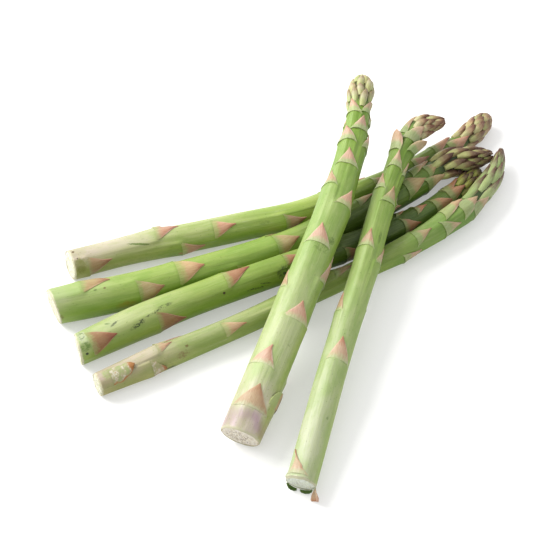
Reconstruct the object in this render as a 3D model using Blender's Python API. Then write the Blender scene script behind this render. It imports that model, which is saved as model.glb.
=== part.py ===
"""Bundle of six asparagus spears, lying as a pile: four under, two over them. Metres, +Z up.

Each spear is one solid: a stem swept along its own centreline, its leaf scales and its packed head.
The numbers below are in millimetres, and MM turns them into metres.
"""

from dataclasses import dataclass

import bmesh
import bpy
import numpy as np

# Driving dimensions, in millimetres and degrees.
MM = 0.001
TABLE = 0.0
CENTRING = (0.54, -0.12, 0.0)
GAP = 0.36
GOLDEN_TURN = 137.5

# The stem's mesh: sides round it, spacing of its rings, and the domed tip's rings as shares of the dome.
SIDES = 14
RING_STEP = 12.0
CUT_RING = 2.5
DOME_RINGS = (0.3, 0.55, 0.76, 0.91, 0.98)
ROUTE_SAMPLES = 800
TANGENT_REACH = 1.5
SLOPE_REACH = 0.2

# Under the packed scales the stem is slimmer, so that the scales bring it out to its girth.
HEAD_INSET = 0.9
INSET_RUN = 7.0
HEAD_TIP = 2.5
HEAD_CROWDING = 0.25
HEAD_SHRINK = 0.45

# A leaf scale's height, how deep it is rooted, and how it keeps clear of the tip and the table.
LEAF_HEIGHT = 0.85
TALLEST_LEAF = 1.4
SINK = 1.0
SINK_SHARE = 0.55
ROOT_SHARE = 0.8
ROOT_TUCK = 0.3
TIP_MARGIN = 0.3
LEAF_CLEAR = 0.05
LEAST_SQUEEZE = 0.02
STEM_COLUMNS, HEAD_COLUMNS = 4, 3

# The side turned away: spacing of its scales, and how far from the cut and the head they keep.
FAR_PITCH = 11.0
FAR_START, FAR_STOP = 20.0, 15.0

# Share of the faces that stays when the slivers of the union are taken out.
KEPT_SHARE = 0.8

# Leaf scales: length near the cut and near the head, and half width in degrees.
PLAIN = (10.0, 8.5, 43.0)
BROAD = (12.0, 10.5, 50.0)
SMALL = (7.0, 6.5, 32.0)
OPEN = (9.5, 9.0, 46.0)

# Outline of a leaf scale from its base to its tip: (share of length, share of half width, share of height).
STEM_LEAF = ((0.0, 1.0, 0.85), (0.42, 0.7, 1.0), (1.0, 0.07, 0.45))
HEAD_LEAF = ((0.0, 0.85, 0.7), (0.45, 1.0, 1.0), (1.0, 0.12, 0.6))
OPEN_LEAF = ((0.0, 1.0, 0.7), (0.4, 1.0, 1.3), (1.0, 0.14, 2.4))


@dataclass(frozen=True)
class Head:
    """The packed scales of a tip, on a spiral.

    Args: start and first length in mm, count of scales, half width in degrees, height in mm, first angle in
    degrees, and the hand of the spiral (1 or -1).
    """

    start: float
    length: float
    count: int
    half_width: float
    height: float
    phase: float
    hand: int = 1


@dataclass(frozen=True)
class Spear:
    """One spear, its places read off the photograph by eye and rounded.

    Args: route as points (x, y, z) of the centreline from the cut end to the tip; girth as (distance from
    the cut, diameter); the dome at the tip as (length, power, root); the cut end's tilt towards the top and
    towards the side; leaf scales as (distance from the cut, degrees round from the top), plain, broad, small
    and opened ones apart; the head; and the side that the photograph hides, as (first angle of its spiral,
    least angle, most angle).
    """

    name: str
    route: tuple
    girth: tuple
    dome: tuple
    cut: tuple
    plain: tuple
    head: Head
    far: tuple
    broad: tuple = ()
    small: tuple = ()
    opened: tuple = ()


SPEARS = (
    Spear(
        name="spear_a",
        route=(
            (-93, 9.5, 6.2), (-64.5, 19, 6), (-21, 31, 6), (7.5, 39, 5.9),
            (34.5, 52, 5.3), (60, 68, 4.5), (84, 85.5, 5.1), (95, 98.5, 5.2),
        ),
        girth=((0, 13), (18, 12.5), (40, 12.8), (110, 12), (130, 11.3), (165, 9.2), (190, 9.4), (212, 10.4)),
        dome=(13.0, 2.2, 2.0),
        cut=(0.125, 0.1),
        plain=(
            (7, 62), (39, -13), (49, 96), (64, 29), (96, 68), (116, -20), (140, 29), (162, 14), (171, 78),
            (175, -18), (182, 34),
        ),
        head=Head(start=188.0, length=10.5, count=17, half_width=46, height=1.15, phase=-40.0),
        far=(0.0, -125.0, -60.0),
    ),
    Spear(
        name="spear_b",
        route=(
            (-98, -14, 7.3), (-68.5, -6, 7.2), (-26, 9, 6.5), (2, 20.5, 6.2),
            (28.5, 34, 6.9), (53, 49.5, 8.8), (77, 67.5, 8.6), (94, 73, 7),
        ),
        girth=(
            (0, 15.4), (12, 15.8), (50, 14.7), (100, 13.2), (150, 12.8), (180, 11.2), (203, 10.8), (214, 11),
        ),
        dome=(18.0, 1.6, 1.35),
        cut=(-0.03, 0.22),
        plain=((80, 92), (118, -50), (142, -37), (150, 66), (171, -43), (174, 84)),
        broad=((13, -31), (36, 56), (54, 11), (99, 23), (164, 26)),
        head=Head(start=177.0, length=12.5, count=18, half_width=40, height=1.35, phase=8.0, hand=-1),
        far=(40.0, -125.0, -75.0),
    ),
    Spear(
        name="spear_c",
        route=(
            (-86, -35.5, 6.3), (-59.5, -21.5, 8), (-19, -3, 9.2), (8.5, 9.5, 8.7),
            (36, 23, 6.8), (62.5, 39, 5.1), (74, 49, 4.6), (88.5, 65.5, 4.4),
        ),
        girth=((0, 13.2), (25, 14.3), (55, 13.2), (110, 12.3), (150, 11), (180, 9.6), (204, 9)),
        dome=(14.0, 1.8, 1.5),
        cut=(0.06, -0.19),
        plain=((122, 70), (152, 44), (179, 11), (181, -52)),
        broad=((5, 35), (35, 74), (68, -7), (170, 26)),
        small=((95, 5), (161, -13)),
        head=Head(start=184.0, length=10.0, count=16, half_width=46, height=1.0, phase=70.0),
        far=(90.0, -125.0, -60.0),
    ),
    Spear(
        name="spear_d",
        route=(
            (-77, -52, 4.6), (-50.5, -38.5, 5.2), (-11, -17.5, 5.2), (28, 4.5, 5.7),
            (65, 27.5, 7.1), (87, 48.5, 7.2), (95.5, 63.5, 7), (99.5, 77, 6.8),
        ),
        girth=((0, 9.8), (25, 11), (50, 10.2), (120, 9.6), (165, 10), (195, 10.4), (212, 8.8), (226, 8.8)),
        dome=(22.0, 1.7, 1.2),
        cut=(0.1, 0.0),
        plain=(
            (6, 26), (23, 71), (57, 26), (84, 60), (112, -20), (144, 98), (152, 11), (166, 55), (170, -28),
            (183, 74),
        ),
        broad=((178, 17),),
        small=((28, -16),),
        head=Head(start=190.0, length=15.0, count=17, half_width=40, height=1.05, phase=-30.0, hand=-1),
        far=(150.0, -125.0, -60.0),
    ),
    Spear(
        name="spear_e",
        route=(
            (-18, -79.5, 8.1), (-5, -45, 12.9), (10.5, -3.5, 20.3), (22, 29.5, 24.6), (30, 60, 27),
            (36, 101.5, 30),
        ),
        girth=((0, 16.6), (55, 16.4), (75, 15.2), (118, 14.2), (140, 12), (155, 11.3), (191, 11)),
        dome=(9.0, 2.2, 2.0),
        cut=(-0.1, 0.0),
        plain=(
            (30, -16), (54, 35), (68, -76), (76, 95), (91, 5), (113, 50), (122, -43), (134, 8), (147, 86),
            (149, -31),
        ),
        broad=((10, 5),),
        small=((15, 90),),
        head=Head(start=155.0, length=9.0, count=20, half_width=42, height=1.05, phase=26.0, hand=-1),
        far=(20.0, 115.0, 245.0),
    ),
    Spear(
        name="spear_f",
        route=(
            (6, -99.7, 6.0), (17.5, -57, 11.5), (34, 0, 16.1), (46, 43.5, 19.6),
            (54, 65, 20.8), (61.5, 76.5, 22), (71.5, 78.5, 23.6),
        ),
        girth=((0, 12.2), (40, 12), (90, 11.2), (140, 10), (160, 8.5), (175, 9), (184, 10), (197, 9)),
        dome=(13.0, 1.8, 1.4),
        cut=(-0.1, 0.0),
        plain=(
            (2, -25), (78, -70), (106, 83), (112, -22), (137, 35), (144, -46), (155, 90), (157, 5),
            (177, -60),
        ),
        broad=((54, 17), (174, 25)),
        opened=((168, -28), (169, 62)),
        head=Head(start=180.0, length=9.5, count=14, half_width=46, height=1.0, phase=88.0),
        far=(60.0, 115.0, 245.0),
    ),
)


def smooth(at, knots, values):
    """Values read at `at` from a smooth curve through (knots, values)."""
    slope = np.gradient(values, knots, axis=0)
    low = np.clip(np.searchsorted(knots, at, side="right") - 1, 0, len(knots) - 2)
    width = knots[low + 1] - knots[low]
    share = (at - knots[low]) / width
    if values.ndim > 1:
        share, width = share[:, None], width[:, None]
    return (
        (2 * share**3 - 3 * share**2 + 1) * values[low]
        + (share**3 - 2 * share**2 + share) * width * slope[low]
        + (3 * share**2 - 2 * share**3) * values[low + 1]
        + (share**3 - share**2) * width * slope[low + 1]
    )


class Line:
    """A spear's centreline with its radius, both read by distance from the cut end."""

    def __init__(self, spear):
        route = np.array(spear.route, float) + np.array(CENTRING)
        knots = np.r_[0, np.cumsum(np.linalg.norm(np.diff(route, axis=0), axis=1))]
        self.xyz = smooth(np.linspace(0, knots[-1], ROUTE_SAMPLES), knots, route)
        self.at = np.r_[0, np.cumsum(np.linalg.norm(np.diff(self.xyz, axis=0), axis=1))]
        girth = np.array(spear.girth, float)
        self.wide = smooth(np.minimum(self.at, girth[-1, 0]), girth[:, 0], girth[:, 1] / 2)
        self.length = self.at[-1]
        self.dome, self.power, self.root = spear.dome
        self.head = spear.head.start

    def centre(self, at):
        return np.column_stack([np.interp(at, self.at, self.xyz[:, axis]) for axis in range(3)])

    def radius(self, at):
        past = np.clip((at - self.length + self.dome) / self.dome, 0, 1)
        inset = HEAD_INSET * np.clip((at - self.head) / INSET_RUN + 0.5, 0, 1)
        return (np.interp(at, self.at, self.wide) - inset) * (1 - past**self.power) ** (1 / self.root)

    def frame(self, at):
        """The direction along the spear, the one towards its top, and the one to its side."""
        ahead = self.centre(np.minimum(at + TANGENT_REACH, self.length))
        along = ahead - self.centre(np.maximum(at - TANGENT_REACH, 0))
        along /= np.linalg.norm(along, axis=1)[:, None]
        top = np.array((0.0, 0.0, 1.0)) - along * along[:, 2:]
        top /= np.linalg.norm(top, axis=1)[:, None]
        return along, top, np.cross(along, top)

    def point(self, at, angle, height):
        """Points over the surface, `angle` round from the top and `height` out from the skin."""
        at, angle, height = np.broadcast_arrays(np.asarray(at, float), angle, height)
        along, top, side = self.frame(at)
        radial = top * np.cos(angle)[:, None] + side * np.sin(angle)[:, None]
        ahead = np.minimum(at + SLOPE_REACH, self.length)
        behind = np.maximum(at - SLOPE_REACH, 0)
        lean = np.arctan((self.radius(behind) - self.radius(ahead)) / (ahead - behind))[:, None]
        out = radial * np.cos(lean) + along * np.sin(lean)
        return self.centre(at) + radial * self.radius(at)[:, None] + out * height[:, None]


LINES = {spear.name: Line(spear) for spear in SPEARS}


def room(name, skin):
    """How far each point of a skin is from the nearest skin of another spear, in mm."""
    nearest = np.full(len(skin), 99.0)
    for other, line in LINES.items():
        if other == name:
            continue
        at = np.arange(0, line.length, 1.0)
        away = np.linalg.norm(skin[:, None] - line.centre(at)[None], axis=2) - line.radius(at)
        nearest = np.minimum(nearest, away.min(axis=1))
    return nearest


def settled(name, at, angle, height, clear):
    """Points over the surface, pressed in where a neighbour lies close and kept above the table."""
    line = LINES[name]
    free = (room(name, line.point(at, angle, 0.0)) - GAP) / 2
    squeeze = np.clip(free / TALLEST_LEAF, LEAST_SQUEEZE, 1.0)
    height = np.where(height > 0, height * squeeze, height) + np.minimum(free, 0.0)
    points = line.point(at, angle, height)
    points[:, 2] = np.maximum(points[:, 2], TABLE + clear)
    return points


def stem_mesh(spear):
    """Rings along the centreline, closed by a flat cut end and a domed tip."""
    line = LINES[spear.name]
    dome_start = line.length - line.dome
    steps = int(round(dome_start / RING_STEP))
    at = np.r_[0.0, CUT_RING, np.linspace(RING_STEP, dome_start, steps)]
    at = np.r_[at, dome_start + line.dome * np.array(DOME_RINGS)]
    angles = np.radians((np.arange(SIDES) + 0.5) * 360.0 / SIDES)
    points = []
    for index, distance in enumerate(at):
        offset = np.zeros(SIDES)
        if index == 0:
            tilt = spear.cut[0] * np.cos(angles) + spear.cut[1] * np.sin(angles)
            offset = tilt * line.radius(np.zeros(1))[0]
        ring = settled(spear.name, np.full(SIDES, distance), angles, np.zeros(SIDES), 0.0)
        along = line.frame(np.full(SIDES, distance))[0]
        ring += along * offset[:, None]
        ring[:, 2] = np.maximum(ring[:, 2], TABLE)
        points.extend(ring)
    rings = len(at)
    faces = []
    for ring in range(rings - 1):
        for side in range(SIDES):
            after = (side + 1) % SIDES
            low, high = ring * SIDES, (ring + 1) * SIDES
            faces.append((low + side, low + after, high + after, high + side))
    points.append(np.mean(points[:SIDES], axis=0))
    cut = len(points) - 1
    points.append(line.centre(np.array([line.length]))[0])
    tip = len(points) - 1
    last = (rings - 1) * SIDES
    for side in range(SIDES):
        after = (side + 1) % SIDES
        faces.append((cut, after, side))
        faces.append((tip, last + side, last + after))
    return points, faces


def leaf_mesh(name, place, size, outline, columns, clear):
    """One leaf scale as a closed solid, its lower side sunk into the stem.

    Args: the spear's name; (distance from the cut, degrees round); (length, half width in degrees, height);
    the outline's rows; the number of columns across; and how far it stays above the table.
    """
    line = LINES[name]
    at, turn = place
    length, half_width, height = size
    length = min(length, line.length - at - TIP_MARGIN)
    across = np.linspace(-1, 1, columns)
    top, below = [], []
    for share, wide, tall in outline:
        angle = np.radians(turn + across * half_width * wide)
        distance = np.full(columns, at + share * length)
        swell = height * tall * (1 - 0.5 * across**2)
        top.extend(settled(name, distance, angle, swell, clear))
        radius = line.radius(distance)
        inner = np.radians(turn + across * half_width * wide * ROOT_SHARE)
        depth = -np.minimum(SINK, SINK_SHARE * radius)
        below.extend(line.point(distance + ROOT_TUCK * (0.5 - share), inner, depth))
    rows = len(outline)
    count = rows * columns
    faces = []
    for row in range(rows - 1):
        for column in range(columns - 1):
            a = row * columns + column
            b = a + columns
            faces.append((a, a + 1, b + 1, b))
            faces.append((count + a, count + b, count + b + 1, count + a + 1))
    rim = list(range(columns))
    rim += [row * columns + columns - 1 for row in range(1, rows)]
    rim += [(rows - 1) * columns + column for column in range(columns - 2, -1, -1)]
    rim += [row * columns for row in range(rows - 2, 0, -1)]
    for index, here in enumerate(rim):
        after = rim[(index + 1) % len(rim)]
        faces.append((here, count + here, count + after, after))
    return top + below, faces


def material(name, colour, roughness):
    made = bpy.data.materials.new(name)
    made.use_nodes = True
    shader = made.node_tree.nodes["Principled BSDF"]
    shader.inputs["Base Color"].default_value = (*colour, 1.0)
    shader.inputs["Roughness"].default_value = roughness
    return made


def mesh_object(name, points, faces, materials):
    """An object from points in mm, its faces turned outwards and shaded smooth."""
    mesh = bpy.data.meshes.new(name)
    mesh.from_pydata([tuple(float(v) * MM for v in point) for point in points], [], faces)
    shape = bmesh.new()
    shape.from_mesh(mesh)
    bmesh.ops.triangulate(shape, faces=shape.faces[:])
    bmesh.ops.recalc_face_normals(shape, faces=shape.faces[:])
    if shape.calc_volume(signed=True) < 0:
        bmesh.ops.reverse_faces(shape, faces=shape.faces[:])
    shape.to_mesh(mesh)
    shape.free()
    for finish in materials:
        mesh.materials.append(finish)
    for polygon in mesh.polygons:
        polygon.use_smooth = True
    made = bpy.data.objects.new(name, mesh)
    return made


def keep_outer_body(thing):
    """Drops sealed hollows and loose scraps, which leaves the largest body."""
    shape = bmesh.new()
    shape.from_mesh(thing.data)
    left = set(shape.faces)
    bodies = []
    while left:
        grown = [left.pop()]
        body = set(grown)
        while grown:
            for edge in grown.pop().edges:
                for face in edge.link_faces:
                    if face in left:
                        left.discard(face)
                        body.add(face)
                        grown.append(face)
        bodies.append(body)
    bodies.sort(key=len)
    scraps = [face for body in bodies[:-1] for face in body]
    bmesh.ops.delete(shape, geom=scraps, context="FACES")
    shape.to_mesh(thing.data)
    shape.free()


def far_leaves(spear):
    """Places of leaf scales on the side turned away: a golden-angle spiral, kept where it runs there."""
    phase, low, high = spear.far
    last = spear.head.start - FAR_STOP
    places = []
    for index in range(int((last - FAR_START) / FAR_PITCH)):
        turn = (phase + index * GOLDEN_TURN - low) % 360.0 + low
        if turn <= high:
            places.append((FAR_START + index * FAR_PITCH, turn))
    return places


def stem_leaves(spear):
    """Meshes of every leaf scale below the head."""
    kinds = (
        ((*spear.plain, *far_leaves(spear)), PLAIN, STEM_LEAF),
        (spear.broad, BROAD, STEM_LEAF),
        (spear.small, SMALL, STEM_LEAF),
        (spear.opened, OPEN, OPEN_LEAF),
    )
    meshes = []
    for places, (low_length, high_length, half_width), outline in kinds:
        for at, turn in places:
            length = low_length + (high_length - low_length) * at / spear.head.start
            clear = LEAF_CLEAR * (1 + len(meshes) / 4)
            size = (length, half_width, LEAF_HEIGHT)
            meshes.append(leaf_mesh(spear.name, (at, turn), size, outline, STEM_COLUMNS, clear))
    return meshes


def head_leaves(spear):
    """Meshes of the packed scales of the head, each one a golden angle round from the last."""
    head = spear.head
    span = LINES[spear.name].length - head.start - HEAD_TIP
    meshes = []
    for index in range(head.count):
        share = index / (head.count - 1)
        at = head.start + span * share * (1 + HEAD_CROWDING * (1 - share))
        turn = head.phase + head.hand * GOLDEN_TURN * index
        size = (head.length * (1 - HEAD_SHRINK * share), head.half_width, head.height)
        clear = LEAF_CLEAR * (1 + index / 3)
        meshes.append(leaf_mesh(spear.name, (at, turn), size, HEAD_LEAF, HEAD_COLUMNS, clear))
    return meshes


def build_spear(spear, finishes):
    """A spear: the stem joined with every leaf scale and with its head in one union, then thinned."""
    stem = mesh_object(spear.name, *stem_mesh(spear), finishes[:1])
    bpy.context.scene.collection.objects.link(stem)
    group = bpy.data.collections.new(spear.name + "_scales")
    bpy.context.scene.collection.children.link(group)
    for index, (points, faces) in enumerate(stem_leaves(spear) + head_leaves(spear)):
        group.objects.link(mesh_object(f"{spear.name}_scale_{index}", points, faces, finishes[1:]))
    union = stem.modifiers.new("scales", "BOOLEAN")
    union.operation = "UNION"
    union.operand_type = "COLLECTION"
    union.collection = group
    union.solver = "EXACT"
    bpy.context.view_layer.objects.active = stem
    bpy.ops.object.modifier_apply(modifier=union.name)
    for piece in list(group.objects):
        bpy.data.objects.remove(piece)
    bpy.data.collections.remove(group)
    keep_outer_body(stem)
    thinned = stem.modifiers.new("slivers", "DECIMATE")
    thinned.ratio = KEPT_SHARE
    bpy.ops.object.modifier_apply(modifier=thinned.name)


for leftover in list(bpy.data.objects):
    bpy.data.objects.remove(leftover)
bpy.context.scene.unit_settings.system = "METRIC"
bpy.context.scene.unit_settings.scale_length = 1.0

for one in SPEARS:
    stem_finish = material(one.name + "_stem", (0.33, 0.48, 0.14), 0.45)
    scale_finish = material(one.name + "_scale", (0.55, 0.33, 0.2), 0.55)
    build_spear(one, (stem_finish, scale_finish))
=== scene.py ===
"""Bundle of six asparagus spears: the looks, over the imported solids. Metres, +Z up.

Each piece is modelled straight with Blender's own tools, in plain units, and is then laid along its spear.
Lengths in the tables are millimetres, and turns are degrees round a spear from its top.
"""

import logging
import math
from collections.abc import Callable
from dataclasses import dataclass
from enum import Enum

import bmesh
import bpy
import numpy as np
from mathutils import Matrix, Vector, noise


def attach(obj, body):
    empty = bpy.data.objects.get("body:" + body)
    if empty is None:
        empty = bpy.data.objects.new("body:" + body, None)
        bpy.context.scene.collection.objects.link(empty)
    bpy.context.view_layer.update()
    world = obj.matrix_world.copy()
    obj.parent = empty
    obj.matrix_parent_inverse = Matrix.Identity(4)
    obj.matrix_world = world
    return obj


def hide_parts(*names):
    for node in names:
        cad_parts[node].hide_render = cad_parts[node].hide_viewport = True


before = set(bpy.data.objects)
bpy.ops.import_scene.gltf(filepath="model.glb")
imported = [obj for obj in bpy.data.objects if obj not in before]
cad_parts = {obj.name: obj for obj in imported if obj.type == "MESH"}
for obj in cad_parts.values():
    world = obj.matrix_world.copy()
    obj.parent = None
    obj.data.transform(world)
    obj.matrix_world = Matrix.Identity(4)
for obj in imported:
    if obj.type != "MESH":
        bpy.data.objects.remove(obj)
LOG = logging.getLogger("asparagus")

MM = 0.001
TABLE = 0.0
CENTRING = (0.54, -0.12, 0.0)  # from the routes' own origin to the frame's
GAP = 0.36  # the least room between two skins
GOLDEN_TURN = 137.5
MARK_DEPTH = 3.0  # half a blemish's depth
LEAF_FACES = (8, 8)
HEAD_FACES = (4, 6)
TINY = 1e-5
NEAR = 0.01  # how close to an end counts as on it
HALF_WAY = 0.5
SKIN_SHARE = 0.999  # the share of the radius from which a point is on the skin
SEED = 40
NOISE_STEPS = (7.3, 3.1, 5.7)  # how far a seed of 1 moves the noise

Colour = tuple[float, float, float]
# painted shade for the stem under the head, where the head's scales shade it
PAINTED_HEAD_SHADE: Colour = (0.022, 0.04, 0.006)
DARK_SCAR: Colour = (0.012, 0.02, 0.003)
BROWN_SCAR: Colour = (0.09, 0.035, 0.008)
GREEN_BRUISE: Colour = (0.06, 0.11, 0.008)
RAW_FLESH: Colour = (0.42, 0.44, 0.3)
PEELED_SKIN = (
    (0.4, (0.22, 0.25, 0.1)), (0.52, (0.28, 0.26, 0.14)),
    (0.6, (0.42, 0.4, 0.31)), (0.7, (0.33, 0.24, 0.13)),
)


# Where everything lies


class LeafKind(Enum):
    """The kinds of leaf scale below the head."""

    PLAIN = "plain"
    BROAD = "broad"
    SMALL = "small"
    OPENED = "opened"
    HOODED = "hooded"
    LIPPED = "lipped"
    TORN = "torn"
    RAGGED = "ragged"
    TATTERED = "tattered"
    STUB = "stub"
    SHRED = "shred"
    FLAP = "flap"


class HeadKind(Enum):
    """The ways a head's scales grow."""

    BLUNT = "blunt"
    LOOSE = "loose"
    SHORT = "short"
    POINTED = "pointed"
    KNOBBLY = "knobbly"
    BENT = "bent"


@dataclass(frozen=True)
class LeafShape:
    """The form of one kind of leaf scale.

    Args: length near the cut and near the head, half width in degrees, how its sides taper (1 is straight,
    more is hollow), how they bulge, height of its middle and of its rim over the stem, lift of its tip, how
    far its two lower corners reach back, how ragged its edge is, how far it is (torn, a green stub), and the
    lean of its tip round the stem as a share of its half width.
    """

    low_length: float
    high_length: float
    half_width: float
    taper: float
    bulge: float
    middle: float
    rim: float
    lift: float = 0.0
    corners: float = 0.9
    ragged: float = 0.0
    state: tuple[float, float] = (0.0, 0.0)
    lean: float = 0.0


LEAF_SHAPES = {
    LeafKind.PLAIN: LeafShape(10.5, 8.8, 44.0, 1.3, 0.15, 0.62, 0.36),
    LeafKind.BROAD: LeafShape(11.7, 10.8, 51.0, 1.3, 0.55, 0.66, 0.38),
    LeafKind.SMALL: LeafShape(7.2, 6.8, 33.0, 1.3, 0.1, 0.5, 0.3),
    LeafKind.OPENED: LeafShape(9.5, 9.0, 40.0, 0.8, 0.7, 1.2, 0.6, lift=3.6),
    LeafKind.HOODED: LeafShape(12.0, 11.5, 50.0, 1.05, 0.5, 1.15, 0.5, lift=0.7),
    LeafKind.LIPPED: LeafShape(9.0, 8.2, 47.0, 1.2, 0.25, 1.0, 0.5, lift=0.5),
    LeafKind.TORN: LeafShape(11.0, 9.0, 42.0, 0.6, 0.4, 0.9, 0.45, 0.9, 0.2, 0.8, (1.0, 0.0)),
    LeafKind.RAGGED: LeafShape(5.8, 5.8, 42.0, 0.8, 0.3, 0.7, 0.4, 0.6, 0.2, 1.0, (0.75, 0.0)),
    LeafKind.TATTERED: LeafShape(10.5, 10.5, 46.0, 2.4, 0.1, 0.5, 0.3, 0.2, 0.1, 1.0, (0.2, 0.0), -0.7),
    LeafKind.STUB: LeafShape(7.4, 7.4, 32.0, 0.5, 0.5, 1.3, 1.1, 0.6, 0.2, 0.0, (0.0, 1.0)),
    LeafKind.SHRED: LeafShape(-4.7, -4.7, 9.0, 0.25, 4.6, 0.2, 0.1, 2.4, 0.0, 0.2, (0.15, 0.0), 0.9),
    LeafKind.FLAP: LeafShape(-1.5, -1.5, 26.0, 0.4, 0.4, 0.15, 0.1, 0.1, 0.0, 0.9, (0.0, 0.5)),
}


@dataclass(frozen=True)
class HeadShape:
    """The form of a head's scales.

    Args: share of the length where a scale is widest, how blunt its tip is, how far its middle swells, how
    far its tip stands off, how much neighbours differ, how many there are for each one of the solid's, how
    narrow and how short they are beside the solid's, the share of the head that has lipped scales, and how
    much flatter the last scales are than the first.
    """

    widest: float
    blunt: float
    swell: float
    lift: float
    jitter: float
    crowd: float
    narrow: float
    short: float
    leafy: float
    slimmer: float = 0.2


HEAD_SHAPES = {
    HeadKind.BLUNT: HeadShape(0.45, 0.72, 1.5, 0.4, 0.3, 2.2, 0.66, 0.86, 0.0),
    HeadKind.LOOSE: HeadShape(0.48, 0.76, 1.75, 0.6, 0.5, 2.1, 0.6, 0.92, 0.1),
    HeadKind.SHORT: HeadShape(0.42, 0.76, 1.5, 0.5, 0.4, 2.1, 0.62, 0.88, 0.1),
    HeadKind.POINTED: HeadShape(0.36, 0.95, 1.3, 0.35, 0.25, 1.7, 0.76, 1.15, 0.0, 0.7),
    HeadKind.KNOBBLY: HeadShape(0.6, 0.6, 1.45, 0.6, 0.45, 1.7, 0.58, 0.95, 0.42),
    HeadKind.BENT: HeadShape(0.42, 0.76, 1.55, 0.55, 0.5, 2.2, 0.64, 0.88, 0.0),
}


@dataclass(frozen=True)
class Head:
    """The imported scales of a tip, on a spiral.

    Args: the way they grow, start and first length, count of scales, half width in degrees, height, first
    angle, and the hand of the spiral (1 or -1).
    """

    kind: HeadKind
    start: float
    length: float
    count: int
    half_width: float
    height: float
    phase: float
    hand: int = 1


@dataclass(frozen=True)
class Mark:
    """A blemish on the skin.

    Args: distance from the cut and turn of its centre, its half length and half width, colour, strength,
    how broken it is, and how far it runs askew in degrees.
    """

    at: float
    turn: float
    length: float
    width: float
    colour: Colour
    strength: float = 0.8
    broken: float = 0.5
    askew: float = 0.0


@dataclass(frozen=True)
class SpearPlan:
    """One spear's route, girth and growth, with its solid's numbers but for a few at the scales and the head.

    Args: name; route of the centreline; girth as (distance, diameter); the dome at the tip as (length, power,
    root); the cut end's tilt towards the top and the side; the leaf scales by kind as (distance, turn); the
    head; the hidden side's spiral as (first turn, least turn, most turn); and the material slot.
    """

    name: str
    route: tuple[tuple[float, float, float], ...]
    girth: tuple[tuple[float, float], ...]
    dome: tuple[float, float, float]
    cut: tuple[float, float]
    leaves: dict[LeafKind, tuple[tuple[float, float], ...]]
    head: Head
    far: tuple[float, float, float]
    slot: str


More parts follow.
